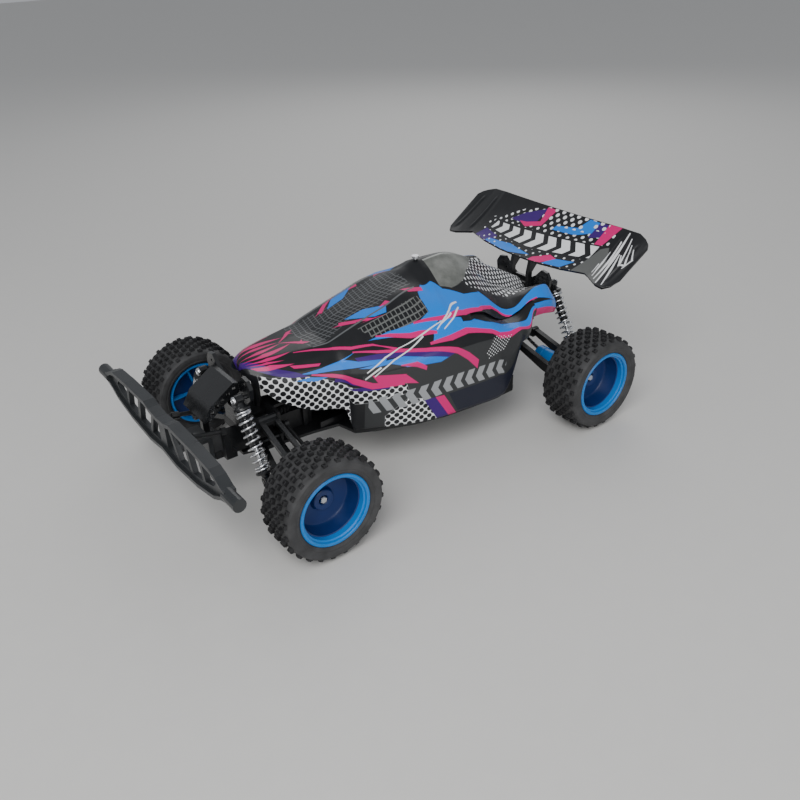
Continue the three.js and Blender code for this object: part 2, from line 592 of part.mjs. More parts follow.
function chassisTub() {
  const right = FLOOR_EDGE.slice().reverse().map(([x, y]) => [x, -y]);
  const floor = plateZ([...FLOOR_EDGE, ...right], FLOOR_Z, FLOOR_TOP);
  const rimEdge = FLOOR_EDGE.filter(([x]) => x <= 66 && x >= -84);
  const walls = [];
  for (const side of [-1, 1]) {
    const outer = rimEdge.map(([x, y]) => [x, side * (y - 0.2)]);
    const inner = rimEdge.map(([x, y]) => [x, side * (y - 2.2)]).reverse();
    const ring = [...outer, ...inner];
    walls.push(plateZ(side > 0 ? ring : ring.reverse(), FLOOR_TOP - 0.2, 50));
  }
  const spine = [-1, 1].map((s) => box(-118, 84, s * 21.5 - 1, s * 21.5 + 1, FLOOR_TOP - 0.2, 46));
  const rearWall = box(-121.6, -118.6, -18, 18, FLOOR_TOP - 0.2, 64);
  const post = join(barZ(FLOOR_TOP - 0.2, 141, -33, 0, 4), barZ(FLOOR_TOP - 0.2, 58, -33, 0, 5));
  const bridge = box(-35, -31, -23, 23, 58.5, 62);
  const legs = [-1, 1].map((s) => box(-35, -31, s * 21.5 - 1.5, s * 21.5 + 1.5, FLOOR_TOP - 0.2, 62));
  const opening = box(-63, PACK.x1 + 2.4, -18.4, 18.4, FLOOR_Z - 1, FLOOR_TOP + 0.5);
  const packRoom = box(PACK.x0 - 1, PACK.x1 + 1, -PACK.halfY - 1, PACK.halfY + 1, FLOOR_TOP - 1, 58);
  const lugs = [-1, 1].map((s) => box(-63.5, -57.5, Math.min(s * 14.4, s * 19), Math.max(s * 14.4, s * 19),
    FLOOR_Z, FLOOR_TOP + 0.6));
  const pinHole = barY(-19.5, 19.5, HINGE.x, HINGE.z, 0.95, 12);
  const slot = box(SWITCH_X - 7, SWITCH_X + 7, 30 - 2, 30 + 2, FLOOR_Z - 1, FLOOR_TOP + 1);
  const shell = cut(join(floor, ...walls, ...spine, rearWall, post, bridge, ...legs), opening, packRoom, slot);
  const tower = cut(join(barZ(61, 141, -33, 0, 4)), barZ(128, 142, -33, 0, 1.5, 12));
  return cut(join(cut(shell, barZ(62, 142, -33, 0, 5)), tower, ...lugs), pinHole);
}

function batteryDoor() {
  const plate = box(-58.6, PACK.x1 + 2, -14, 14, FLOOR_Z, FLOOR_TOP);
  const wide = box(-57, PACK.x1 + 2, -18, 18, FLOOR_Z, FLOOR_TOP);
  const barrel = barY(-14, 14, HINGE.x, HINGE.z, 1.6, 14);
  const pin = barY(-18, 18, HINGE.x, HINGE.z, 0.65, 10);
  const tab = box(-61, -58, -14, 14, FLOOR_Z + 0.9, FLOOR_TOP);
  const grips = [];
  for (let k = 0; k < 5; k += 1) {
    grips.push(box(-8 + 2.4 * k, -7 + 2.4 * k, -9, 9, FLOOR_Z - 1, FLOOR_Z + 0.6));
  }
  return cut(join(plate, wide, barrel, tab, pin), ...grips, barZ(FLOOR_Z - 1, FLOOR_TOP + 1, 4, 0, 1.7, 12));
}

function batteryDoorScrew() {
  return join(barZ(FLOOR_Z - 0.4, FLOOR_Z + 4, 4, 0, 1.3, 12), barZ(FLOOR_Z - 1.6, FLOOR_Z - 0.3, 4, 0, 2.8, 16));
}

function batteryPack() {
  let cells = box(PACK.x0 + 1, PACK.x1 - 1, -PACK.halfY + 0.5, PACK.halfY - 0.5, 43, 49);
  for (let k = 0; k < 4; k += 1) {
    const x = PACK.x0 + 8 + 15.2 * k;
    cells = join(cells, barY(-PACK.halfY, PACK.halfY, x, 49, 7.4, 14));
  }
  return cut(cells, barZ(40, 47, 4, 0, 2));
}

function receiverBoard() {
  const board = box(12, 52, -18, 18, 52, 53.6);
  const chips = [[18, 30, -10, 2, 2.4], [34, 42, -12, -2, 1.8], [20, 28, 6, 14, 3], [36, 46, 4, 12, 6]];
  const parts = chips.map(([x0, x1, y0, y1, h]) => box(x0, x1, y0, y1, 53.4, 53.6 + h));
  const feet = [-1, 1].flatMap((s) => [15, 49].map((x) => barZ(FLOOR_TOP + GAP, 52.2, x, s * 15, 2, 12)));
  return join(board, ...parts, ...feet);
}

function powerSwitch() {
  const knob = box(SWITCH_X - 3.4, SWITCH_X + 0.4, 28.4, 31.6, FLOOR_Z - 0.8, FLOOR_TOP + 0.5);
  const slide = box(SWITCH_X - 5, SWITCH_X + 2, 26, 34, FLOOR_TOP + GAP, FLOOR_TOP + 2.5);
  return join(knob, slide);
}

const SERVO_X = FRONT_X - STEER_ARM - 2.4 - (RACK_MODULE * SERVO_TEETH) / 2;

function steeringServo() {
  const caseBox = box(SERVO_X - 24, SERVO_X + 6, -8.5, 8.5, FLOOR_TOP + GAP, 57);
  const tabs = box(SERVO_X - 29, SERVO_X - 23, -8.5, 8.5, 50, 52.4);
  const lead = bar([SERVO_X - 22, 0, 45], [SERVO_X - 34, 0, 45], 1.6, 10);
  return cut(join(caseBox, tabs, lead), barZ(50, 58, SERVO_X, 0, 2.3));
}

function servoGear() {
  const gear = gearZ(RACK_MODULE, SERVO_TEETH, [SERVO_X, 0], 58, 62.4, 0.26, 0);
  return join(gear, barZ(51, 58.4, SERVO_X, 0, 2), barZ(62, 64, SERVO_X, 0, 3));
}

// Toothed bar that carries the two track rods; the teeth face the servo gear.
function steeringRack() {
  const x = FRONT_X - STEER_ARM;
  const pitchX = SERVO_X + (RACK_MODULE * SERVO_TEETH) / 2;
  const back = box(pitchX + 1.25, x + 1.6, -18, 18, 58.3, 62.1);
  const pitch = Math.PI * RACK_MODULE;
  const slope = Math.tan(THREE.MathUtils.degToRad(20));
  let rack = back;
  for (let k = -5; k < 5; k += 1) {
    const y = (k + 0.5) * pitch;
    const half = pitch / 4 - 0.13;
    const [tip, root] = [half - 0.9 * slope, half + 1.3 * slope];
    rack = join(rack, plateZ([
      [pitchX + 1.35, y - root], [pitchX + 1.35, y + root], [pitchX - 0.9, y + tip],
      [pitchX - 0.9, y - tip],
    ], 58.3, 62.1));
  }
  const [py, pz] = TRACK_ROD_PIVOT;
  for (const s of [-1, 1]) {
    const [y0, y1] = [Math.min(s * 17, s * (py + 3)), Math.max(s * 17, s * (py + 3))];
    rack = join(rack, box(x + 2, x + 4.2, y0, y1, 58.3, 63.6),
      box(x - 1, x + 4.2, Math.min(s * 16, s * 18.5), Math.max(s * 16, s * 18.5), 58.3, 62.1),
      barX(x - 1.8, x + 3, s * py, pz, 1.5, 14));
  }
  return rack;
}

function frontBulkhead() {
  const block = box(124, 144.2, -15, 15, FLOOR_TOP + GAP, 66);
  const lowerEars = [[121, 123.3], [141.5, 144]].map(([a, b]) => box(a, b, -28, 28, LZ - 4, LZ + 4));
  const neck = box(121, 126, -15, 15, FLOOR_TOP + GAP, 56);
  const upperEars = [[123.5, 126], [141.7, 144.2]].flatMap(([a, b]) => [-1, 1].map((s) => (
    box(a, b, Math.min(s * 12, s * 31.5), Math.max(s * 12, s * 31.5), 62, 75.8))));
  const pins = [-1, 1].flatMap((s) => [
    barX(121.5, 143.5, s * LY, LZ, PIN_R), barX(124, 143.5, s * UY, UZ, PIN_R)]);
  const snout = box(143.5, SNOUT_X, -13, 13, 43, 50);
  const uprights = [-1, 1].flatMap((s) => [
    box(158, 167, Math.min(s * 12, s * 21.5), Math.max(s * 12, s * 21.5), 45, 50),
    box(162, 167, Math.min(s * 16.5, s * 21.5), Math.max(s * 16.5, s * 21.5), 49, 65.4)]);
  return join(block, neck, ...lowerEars, ...upperEars, ...pins, snout, ...uprights);
}

function frontTopPlate() {
  const plate = plateZ([[143.8, -10.8], [143.8, 10.8], [126, 10.8], [112, 9], [94, 9], [94, -9],
    [112, -9], [126, -10.8]], 66.3, 68.8);
  const post = barZ(68.5, 111.4, 126, 0, 3.2);
  const legs = [-1, 1].map((s) => box(89, 93, Math.min(s * 9, s * 11.4), Math.max(s * 9, s * 11.4),
    FLOOR_TOP + GAP, 68.8));
  const shelf = box(89, 95, -11.4, 11.4, 66.3, 68.8);
  return join(plate, post, shelf, ...legs);
}

// Sloping cover between the front shocks: a bent strip with a pierced cheek each side.
const COVER_HALF_W = 18;
const COVER_SLOPE = [[147.9, 104], [152, 105], [172, 92.2], [179, 81]];

function frontCover() {
  const under = COVER_SLOPE.map(([x, z]) => [x - (x > 175 ? 1.8 : 0), z - (x > 175 ? 0.6 : 2.2)]).reverse();
  const strip = plateY([...COVER_SLOPE, ...under], -COVER_HALF_W, COVER_HALF_W);
  const cheek = [...COVER_SLOPE, [173, 80.5], [166, 86.5], [158, 91.5], [147.9, 96]];
  const windows = [[152, 100.2], [157, 97], [162, 93.8], [167, 90.6], [171.5, 86.5]];
  const side = (s) => {
    const [y0, y1] = s > 0 ? [COVER_HALF_W - 1.8, COVER_HALF_W] : [-COVER_HALF_W, 1.8 - COVER_HALF_W];
    const holes = windows.map(([x, z]) => box(x - 1.3, x + 1.3, y0 - 1, y1 + 1, z - 1.3, z + 1.3));
    return cut(plateY(cheek, y0, y1), ...holes);
  };
  return join(strip, side(1), side(-1));
}

function frontBumper() {
  const top = [[0, 88.5], [14, 90], [22, 92.5], [60, 91.8], [86, 90], [94, 87.6], [103, 82.6], [106, 82]];
  const bottom = [[106, 74], [98, 71.5], [86, 65.5], [58, 59.5], [24, 57], [12, 58.5], [0, 60]];
  const half = [...top, ...bottom];
  const flip = half.slice(1, -1).reverse().map(([y, z]) => [-y, z]);
  const cells = [
    [[6, 64.5], [6, 84.5], [12, 85.5], [22, 64]],
    [[26.5, 63.4], [16.8, 85.6], [38, 87], [45, 64.2]],
    [[49.5, 65], [42.5, 87], [61, 86.2], [66, 68]],
    [[70, 69.6], [65.5, 86], [82, 84], [88, 78], [83, 73]],
  ];
  const holes = [];
  for (const cell of cells) {
    holes.push(cell, cell.map(([y, z]) => [-y, z]).reverse());
  }
  const web = plateX([...half, ...flip], BUMPER_X + 2, BUMPER_X + 6, holes);
  const rail = (points, lift, x0, x1) => {
    const upper = points.map(([y, z]) => [y, z]);
    const lower = points.map(([y, z]) => [y, z - lift]).reverse();
    const left = [...upper, ...lower];
    const right = left.map(([y, z]) => [-y, z]).reverse();
    return join(plateX(left, x0, x1), plateX(right, x0, x1));
  };
  const topRail = rail(top, 3.2, BUMPER_X, BUMPER_X + BUMPER_DEPTH);
  const low = bottom.slice().reverse().map(([y, z]) => [y, z + 3]);
  const lowRail = rail(low, 3, BUMPER_X + 1, BUMPER_X + 8.5);
  const stubs = [-1, 1].map((s) => barY(Math.min(s * 102, s * 119.5), Math.max(s * 102, s * 119.5),
    BUMPER_X + 5, 78, 5, 16));
  const sockets = [-1, 1].map((s) => barX(BUMPER_X - 3, BUMPER_X + 3, s * POST_Y, 76, 3.8));
  const tongue = join(box(173, BUMPER_X + 3, -12, 12, 60, 63), box(SNOUT_X + GAP, 176, -12, 12, 43, 62));
  return cut(join(web, topRail, lowRail, ...stubs, ...sockets, tongue),
    ...[-1, 1].map((s) => barX(BUMPER_X - 5, BUMPER_X + 2, s * POST_Y, 75.7, 2.6)));
}

function bumperPost() {
  const back = [164, POST_Y, 68.9];
  const front = [BUMPER_X + 1, POST_Y, 76];
  const part = (t) => back.map((v, i) => v + (front[i] - v) * t);
  return join(bar(back, front, 1.8), bar(part(0.55), part(0.72), 2.9), bar(back, part(0.1), 3));
}

function driveMotor() {
  const can = turnY([[0, -12], [9.4, -12], [10, -12.8], [10, -37], [9, -38.5], [4, -38.5], [3.4, -41],
    [0, -41]].reverse(), [PINION_X, 0, PINION_Z], 18);
  const nose = barY(-12.2, -11.3, PINION_X, PINION_Z, 4);
  return cut(join(can, nose), barY(-24, -11, PINION_X, PINION_Z, 1.3));
}

// ---------------------------------------------------------------- body shell and wing
function sideOffset(points, amount) {
  return points.map(([y, z], i) => {
    const before = points[Math.max(0, i - 1)];
    const after = points[Math.min(points.length - 1, i + 1)];
    const run = [after[0] - before[0], after[1] - before[1]];
    const size = Math.hypot(...run);
    const normal = i === 0 ? [0, -1] : [run[1] / size, -run[0] / size];
    return [y + normal[0] * amount, z + normal[1] * amount];
  });
}

function bodyShell() {
  const row = (x, pts) => [
    ...pts.slice(1).reverse().map(([y, z]) => [x, -y, z]),
    ...pts.map(([y, z]) => [x, y, z]),
  ];
  const outer = SHELL.map(([x, ...pts]) => row(x, pts));
  const inner = SHELL.map(([x, ...pts], i) => row(x - (i === 0 ? WALL : 0), sideOffset(pts, i === 0 ? 0.9 : WALL)));
  const shell = thinSkin(outer, inner);
  return cut(shell, barZ(140, 152, -33, 0, 1.8));
}

function bodyScrew() {
  return join(barZ(132, 149.6, -33, 0, 1.2), barZ(150.6, 152.2, -33, 0, 3, 16), barZ(149, 150.8, -33, 0, 1.2));
}

function wing() {
  const chord = 5;
  const row = ([y, front, rear], drop) => {
    const out = [];
    for (let k = 0; k <= chord; k += 1) {
      const t = k / chord;
      const hump = WING_CAMBER * 4 * t * (1 - t);
      out.push([
        front[0] + (rear[0] - front[0]) * t, y, front[1] + (rear[1] - front[1]) * t - hump - drop,
      ]);
    }
    return out;
  };
  const both = [...WING.slice(1).reverse().map(([y, f, r]) => [-y, f, r]), ...WING];
  return thinSkin(both.map((s) => row(s, 0)), both.map((s) => row(s, WING_T)));
}

function wingMount() {
  const foot = box(REAR_TOWER_X + TOWER_T + GAP, REAR_TOWER_X + TOWER_T + 6, -13, 13, 88, 98);
  const posts = [-1, 1].map((s) => {
    const [a, b] = [Math.min(s * 9, s * 12.6), Math.max(s * 9, s * 12.6)];
    const side = [
      [REAR_TOWER_X + 3.3, 88], [REAR_TOWER_X + 8, 88], [REAR_TOWER_X + 8, 108], [-157.6, 121.3],
      [-182, 135], [-172, 122], [REAR_TOWER_X + 3.3, 108],
    ];
    const g = new THREE.ExtrudeGeometry(outline(side), { depth: b - a, bevelEnabled: false });
    g.applyMatrix4(new THREE.Matrix4().makeBasis(
      new THREE.Vector3(1, 0, 0), new THREE.Vector3(0, 0, 1), new THREE.Vector3(0, -1, 0)));
    return solid(g.translate(0, b, 0));
  });
  return join(foot, ...posts, barY(-12, 12, -164, 119, 1.8));
}

// ---------------------------------------------------------------- assembly
const LOOK = {
  black: [0x1b1c1e, 0.55], grey: [0x4a4c50, 0.6], body: [0x17181a, 0.25], blue: [0x1e8fd5, 0.35],
  rubber: [0x141414, 0.9], steel: [0xc9ccd0, 0.3], brass: [0xc59a4a, 0.35], cell: [0x2f7a4f, 0.4],
  board: [0x1d6b3a, 0.5], gear: [0xe4e0d2, 0.5],
};

const car = new THREE.Group();
car.name = "remote_control_buggy";

function put(name, shape, look, mirror = false) {
  const geometry = mirror ? mirrored(toGeometry(shape)) : toGeometry(shape);
  const [color, roughness] = LOOK[look];
  const metalness = look === "steel" || look === "brass" ? 1 : 0;
  const material = new THREE.MeshStandardMaterial({ color, roughness, metalness, flatShading: false });
  const mesh = new THREE.Mesh(toCreasedNormals(geometry, 0.6), material);
  mesh.name = name;
  car.add(mesh);
}

function pair(name, shape, look) {
  put(`${name}_left`, shape, look);
  put(`${name}_right`, shape, look, true);
}

put("chassis_tub", chassisTub(), "black");
put("front_bulkhead", frontBulkhead(), "black");
put("front_top_plate", frontTopPlate(), "black");
put("front_shock_tower", shockTower(FRONT_TOWER_X, FRONT_SHOCK_X + 3.3, SHOCK_TOP), "black");
put("front_cover", frontCover(), "black");
put("front_bumper", frontBumper(), "grey");
pair("bumper_post", bumperPost(), "steel");
put("rear_gearbox_left", gearboxHalf(false), "black");
put("rear_gearbox_right", gearboxHalf(true), "black", true);
put("rear_shock_tower", shockTower(REAR_TOWER_X, REAR_SHOCK_X - 3.3, REAR_SHOCK_TOP), "black");
put("drive_motor", driveMotor(), "steel");
put("battery_pack", batteryPack(), "cell");
put("receiver_board", receiverBoard(), "board");
put("steering_servo", steeringServo(), "black");
put("body_shell", bodyShell(), "body");
put("body_screw", bodyScrew(), "steel");
put("wing", wing(), "body");
put("wing_mount", wingMount(), "black");
put("battery_door", batteryDoor(), "black");
put("battery_door_screw", batteryDoorScrew(), "steel");
put("power_switch", powerSwitch(), "grey");
put("motor_pinion", motorPinion(), "brass");
put("drive_gear", driveGear(), "gear");
put("steering_rack", steeringRack(), "gear");
put("servo_gear", servoGear(), "gear");

pair("front_lower_arm", frontLowerArm(), "black");
pair("front_upper_arm", frontUpperArm(), "black");
pair("front_hub_carrier", hubCarrier(), "black");
pair("front_knuckle", knuckle(), "black");
pair("track_rod", trackRod(), "black");
pair("front_rim", rim(FRONT_X, false), "blue");
pair("front_tyre", tyre(FRONT_X), "rubber");
pair("front_shock_cylinder", shockCylinder(SHOCK_TOP, SHOCK_FOOT, FRONT_SHOCK_X), "black");
pair("front_shock_rod", shockRod(SHOCK_TOP, SHOCK_FOOT, FRONT_SHOCK_X), "steel");
pair("front_spring", coilSpring(SHOCK_TOP, SHOCK_FOOT, FRONT_SHOCK_X), "steel");

pair("rear_arm", rearArm(), "black");
pair("rear_rim", rim(REAR_X, true), "blue");
pair("rear_tyre", tyre(REAR_X), "rubber");
pair("rear_shock_cylinder", shockCylinder(REAR_SHOCK_TOP, REAR_SHOCK_FOOT, REAR_SHOCK_X), "black");
pair("rear_shock_rod", shockRod(REAR_SHOCK_TOP, REAR_SHOCK_FOOT, REAR_SHOCK_X), "steel");
pair("rear_spring", coilSpring(REAR_SHOCK_TOP, REAR_SHOCK_FOOT, REAR_SHOCK_X), "steel");
pair("drive_shaft", driveShaft(), "steel");

export default car;
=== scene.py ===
"""Remote control buggy: livery, rubber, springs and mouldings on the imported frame.

Lengths are millimetres in the row frame (+X forward, +Y left, +Z up); MM turns them into metres.
"""
import math

import bmesh
import bpy
import numpy as np
from mathutils import Matrix, Vector


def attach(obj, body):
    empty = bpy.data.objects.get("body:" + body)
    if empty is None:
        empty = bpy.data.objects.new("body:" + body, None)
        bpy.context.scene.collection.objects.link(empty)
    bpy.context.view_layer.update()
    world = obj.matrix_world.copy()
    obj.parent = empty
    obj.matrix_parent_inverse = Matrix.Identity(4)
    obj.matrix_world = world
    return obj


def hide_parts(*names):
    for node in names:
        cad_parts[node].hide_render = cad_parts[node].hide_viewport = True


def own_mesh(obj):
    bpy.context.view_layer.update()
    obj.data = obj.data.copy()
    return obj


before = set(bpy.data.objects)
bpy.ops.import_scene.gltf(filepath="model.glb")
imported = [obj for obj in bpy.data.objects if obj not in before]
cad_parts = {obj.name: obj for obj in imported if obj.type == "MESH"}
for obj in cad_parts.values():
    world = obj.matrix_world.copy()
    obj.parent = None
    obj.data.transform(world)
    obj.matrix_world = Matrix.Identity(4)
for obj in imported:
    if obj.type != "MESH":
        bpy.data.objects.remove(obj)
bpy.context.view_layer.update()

MM = 0.001
SIDES = (("left", 1), ("right", -1))

# ------------------------------------------------------------------ dimensions, as in the CAD
TYRE_R = 42.5
WHEEL_Y = 106
FRONT_X = 135.5
REAR_X = -141.5
RIM_R = 27.6
LIP_R = 28.9
DRUM_R = 8
DRUM_END_Y = 45
SHOCKS = {                       # x, top [y, z], foot [y, z]
    "front": (154.4, (29, 97), (60, 42)),
    "rear": (-169.6, (29, 99), (60, 45.5)),
}
SPRING_R = 5.5
SPRING_WIRE_R = 0.9
SPRING_TURNS = 11                # the CAD has 9
SEAT_R = 6.6
SHELL_WALL = 1.4
WING_T = 2.2

# Body stations, back to front: x, then [y, z] from the centre crest A down to the bottom edge G.
SHELL = [
    (-152, (0, 104.5), (17, 91), (44, 101), (50, 95), (51.5, 91), (51.5, 87.5), (50, 83)),
    (-140, (0, 111.5), (19, 96), (47, 113.5), (55.5, 103), (57, 97.5), (57, 93), (55.5, 87.5)),
    (-128, (0, 118.5), (20, 100.5), (48.5, 115), (57, 106), (59, 100), (59, 95.5), (57.5, 90.5)),
    (-115, (0, 125.5), (20, 107), (49, 111), (56, 106.5), (61, 101), (61.5, 97), (60, 92)),
    (-99, (0, 134), (18, 117), (50, 104.5), (56, 101.5), (72, 93), (73, 88), (72, 84)),
    (-86, (0, 140.5), (16, 128), (49, 107.5), (57, 99.5), (75.5, 96), (77, 91), (76.5, 84)),
    (-83, (0, 142), (16, 130), (48, 109.5), (57, 99.5), (75.5, 96.5), (78, 85), (77, 77)),
    (-72, (0, 146.5), (15, 137), (45, 118), (58, 103.5), (75.5, 97.5), (79, 70), (77.5, 49.5)),
    (-65, (0, 148.5), (14.5, 140.1), (42.6, 122.2), (58.3, 108.8), (75.5, 98.5), (79, 68), (78, 42)),
    (-58, (0, 149.5), (14, 142), (40, 125.5), (58.5, 113.5), (75.5, 99.5), (79, 70), (78, 40.5)),
    (-34, (0, 150), (13, 144), (30, 132), (59, 118), (74, 101), (77.5, 70), (76.5, 41)),
    (-22, (0, 145.5), (19, 136.5), (44, 127), (59, 117.5), (73, 101), (76, 70), (75, 41.2)),
    (-6, (0, 139), (22, 136), (43, 125.5), (58, 115.5), (71, 100), (74, 70), (73.5, 41.5)),
    (20, (0, 131.5), (25, 129.5), (42, 119), (55, 109.5), (65.5, 97), (68, 70), (67, 42)),
    (50, (0, 123.5), (25, 121.5), (37, 114), (48, 106), (56, 94.5), (57.5, 70), (55, 43)),
    (67, (0, 118), (25, 116.5), (34.5, 110.5), (42, 104), (48, 94), (50, 72), (47, 43)),
    (74, (0, 116.5), (24, 114.5), (33, 109), (39, 103), (44, 94), (46, 80), (45, 65)),
    (97, (0, 115), (19, 114), (27, 109.4), (33, 103), (37, 95), (39, 84), (38.5, 70)),
    (110, (0, 114.5), (16, 113.6), (23.5, 109.4), (29, 103.6), (33, 96.5), (35, 86), (34.5, 76)),
    (122, (0, 114), (12, 113.2), (19, 109.8), (24, 104.8), (27.5, 98.5), (29.2, 91), (29, 83)),
    (132, (0, 112.6), (7, 112.2), (12, 110.2), (16, 107), (19, 103), (20.5, 98.5), (21, 94)),
    (137, (0, 110.5), (4, 110.3), (8, 109.4), (11, 107.6), (13, 105.4), (14, 103), (14.4, 100.5)),
]
CORNER = (0.3, 0.14, 0.2, 0.16, 0.2, 0.3, 0)   # share of each stretch that rounds its corner

# Wing stations from the centre out: y, front edge (x, z), rear edge (x, z).
WING = [
    (0, (-150, 121), (-203, 153.5)), (24, (-151, 121), (-203, 153.5)),
    (50, (-155, 121.5), (-204, 153.5)), (73, (-161, 122.5), (-205, 153.5)),
    (77, (-160, 121.5), (-206, 153)), (91, (-154, 119.5), (-208.5, 151.8)),
    (99, (-153.5, 119), (-206, 149.6)), (104, (-159, 120.6), (-203, 147.6)),
    (107, (-168, 124), (-198, 145)),
]
WING_CAMBER = 2.5
WING_SPAN = 107        # half span
CHORD = 60             # millimetres of livery from the front edge of the wing to the rear edge
NOSE_X = 137           # last body station; the skin closes in front of it
NOSE_Z = 103
SKIN_STEP = 1.7        # between rows of the body skin
V_STEPS = 72           # rows of the body skin from the crest to the bottom edge
V_SCALE = 16           # millimetres of livery for each point of a station, A to G
SEAT_TOP = 8           # spring seats, from the shock's top pin and back from its foot
SEAT_FOOT = 7.5
SEAT_GAP = 0.3
CLOSED_PART = 0.11     # share of the wire in each closed end of a spring, and how far that end rises
CLOSED_RISE = 0.035
HEAD_R = 3.2
HEAD_HEIGHT = 2.2
TOWER_FACE = {"front": (157.8, 1), "rear": (-173, -1)}      # where the shocks' screws stand, and which way

# ------------------------------------------------------------------ colours (linear)
BLACK = (0.008, 0.0085, 0.010)
# painted sheen on the black gloss of the side panel
SIDE_SHEEN = (0.030, 0.0315, 0.033)
BLUE = (0.000, 0.190, 0.720)
PINK = (0.640, 0.005, 0.160)
PURPLE = (0.040, 0.006, 0.150)
WHITE = (0.800, 0.810, 0.820)
SILVER = (0.300, 0.310, 0.320)
GREY_LINE = (0.100, 0.105, 0.110)
# painted highlight for moulded edges
EDGE_HIGHLIGHT = (0.110, 0.115, 0.120)
MESH_GREY = (0.130, 0.135, 0.130)
# painted shade and floor reflection under the side
SILL_SHADE = (0.010, 0.012, 0.024)
GLASS_GREY = (0.110, 0.115, 0.105)


# ------------------------------------------------------------------ shader building
class Paint:
    """A Principled material and short ways to wire the nodes that feed it."""

    def __init__(self, name, roughness=0.5, metallic=0.0, coat=0.0, specular=0.5):
        self.material = bpy.data.materials.new(name)
        self.material.use_nodes = True
        self.tree = self.material.node_tree
        self.shader = self.tree.nodes["Principled BSDF"]
        self.shader.inputs["Metallic"].default_value = metallic
        self.shader.inputs["Roughness"].default_value = roughness
        self.shader.inputs["Specular IOR Level"].default_value = specular
        self.shader.inputs["Coat Weight"].default_value = coat
        self.shader.inputs["Coat Roughness"].default_value = 0.08

    def node(self, kind, inputs=(), **settings):
        made = self.tree.nodes.new("ShaderNode" + kind)
        for key, value in settings.items():
            setattr(made, key, value)
        for key, value in (inputs.items() if isinstance(inputs, dict) else enumerate(inputs)):
            if isinstance(value, bpy.types.NodeSocket):
                self.tree.links.new(value, made.inputs[key])
            elif value is not None:
                made.inputs[key].default_value = value
        return made

    def math(self, operation, *inputs):
        return self.node("Math", inputs, operation=operation).outputs[0]

    def feed(self, socket, value):
        self.tree.links.new(value, self.shader.inputs[socket])

    def position(self):
        """Place in the row frame, in millimetres."""
        where = self.node("TexCoord").outputs["Object"]
        return self.node("VectorMath", {0: where, "Scale": 1 / MM}, operation="SCALE").outputs[0]

    def noise(self, scale, detail=3.0, roughness=0.55):
        """Noise in 0 to 1 with features about 1/scale millimetres across."""
        return self.node("TexNoise", {"Vector": self.position(), "Scale": scale, "Detail": detail,
                                      "Roughness": roughness}).outputs["Fac"]

    def step(self, value, low, high, start=0.0, end=1.0):
        return self.node("MapRange", {0: value, 1: low, 2: high, 3: start, 4: end}).outputs[0]

    def mix(self, under, over, mask):
        made = self.node("Mix", data_type="RGBA")
        made.clamp_factor = True
        for socket, value in ((made.inputs[0], mask), (made.inputs[6], under), (made.inputs[7], over)):
            if isinstance(value, bpy.types.NodeSocket):
                self.tree.links.new(value, socket)
            elif isinstance(value, tuple):
                socket.default_value = (*value, 1)
            else:
                socket.default_value = value
        return made.outputs[2]

    def bump(self, height, strength, distance):
        made = self.node("Bump", {"Strength": strength, "Distance": distance * MM, "Height": height})
        self.feed("Normal", made.outputs[0])


def moulding(name, colour, roughness, grain=0.25, variation=0.35, coat=0.0):
    """Moulded plastic: fine spark-eroded grain, faint flow marks and uneven sheen."""
    paint = Paint(name, roughness, coat=coat)
    broad = paint.noise(0.06, 4)
    fine = paint.noise(2.2, 2)
    light = tuple(min(1, c * (1 + variation) + 0.004) for c in colour)
    dark = tuple(c * (1 - variation) for c in colour)
    paint.feed("Base Color", paint.mix(dark, light, broad))
    paint.feed("Roughness", paint.step(broad, 0.3, 0.7, roughness - 0.07, roughness + 0.09))
    paint.bump(fine, grain, 0.25)
    return paint.material


def metal(name, colour, roughness):
    """Plated steel or brass: drawn lines and a little tarnish."""
    paint = Paint(name, roughness, metallic=1.0)
    mark = paint.noise(0.5, 6, roughness=0.7)
    dark = tuple(c * 0.72 for c in colour)
    paint.feed("Base Color", paint.mix(dark, colour, paint.step(mark, 0.35, 0.6)))
    paint.feed("Roughness", paint.step(mark, 0.3, 0.7, roughness - 0.06, roughness + 0.12))
    paint.bump(paint.noise(3.0, 2), 0.08, 0.1)
    return paint.material


def rubber(name, colour, roughness):
    """Tyre rubber: matt, with a dusty bloom and a fine moulded texture."""
    paint = Paint(name, roughness, specular=0.3)
    bloom = paint.noise(0.09, 5)
    dusty = tuple(c * 1.7 + 0.006 for c in colour)
    paint.feed("Base Color", paint.mix(colour, dusty, paint.step(bloom, 0.35, 0.7)))
    paint.feed("Roughness", paint.step(bloom, 0.3, 0.7, roughness - 0.08, roughness + 0.08))
    paint.bump(paint.noise(1.6, 3), 0.3, 0.3)
    return paint.material


def turning(a, b, c):
    """Sine of the turn at b on the way from a to c: positive to the left."""
    (ux, uy), (vx, vy) = (b[0] - a[0], b[1] - a[1]), (c[0] - b[0], c[1] - b[1])
    return (ux * vy - uy * vx) / max(math.hypot(ux, uy) * math.hypot(vx, vy), 1e-9)


def convex_pieces(points):
    """Cuts a polygon across at each inward corner until every piece is convex."""
    area = sum(a[0] * b[1] - b[0] * a[1] for a, b in zip(points, points[1:] + points[:1]))
    points = points if area > 0 else points[::-1]
    count = len(points)
    for i in range(count):
        before, here, after = points[i - 1], points[i], points[(i + 1) % count]
        if turning(before, here, after) < -1e-3:
            ring = points[i:] + points[:i]
            far = max(range(2, count - 1),
                      key=lambda k: min(turning(before, here, ring[k]), turning(ring[k], here, after)))
            return convex_pieces(ring[:far + 1]) + convex_pieces(ring[far:] + ring[:1])
    return [points]


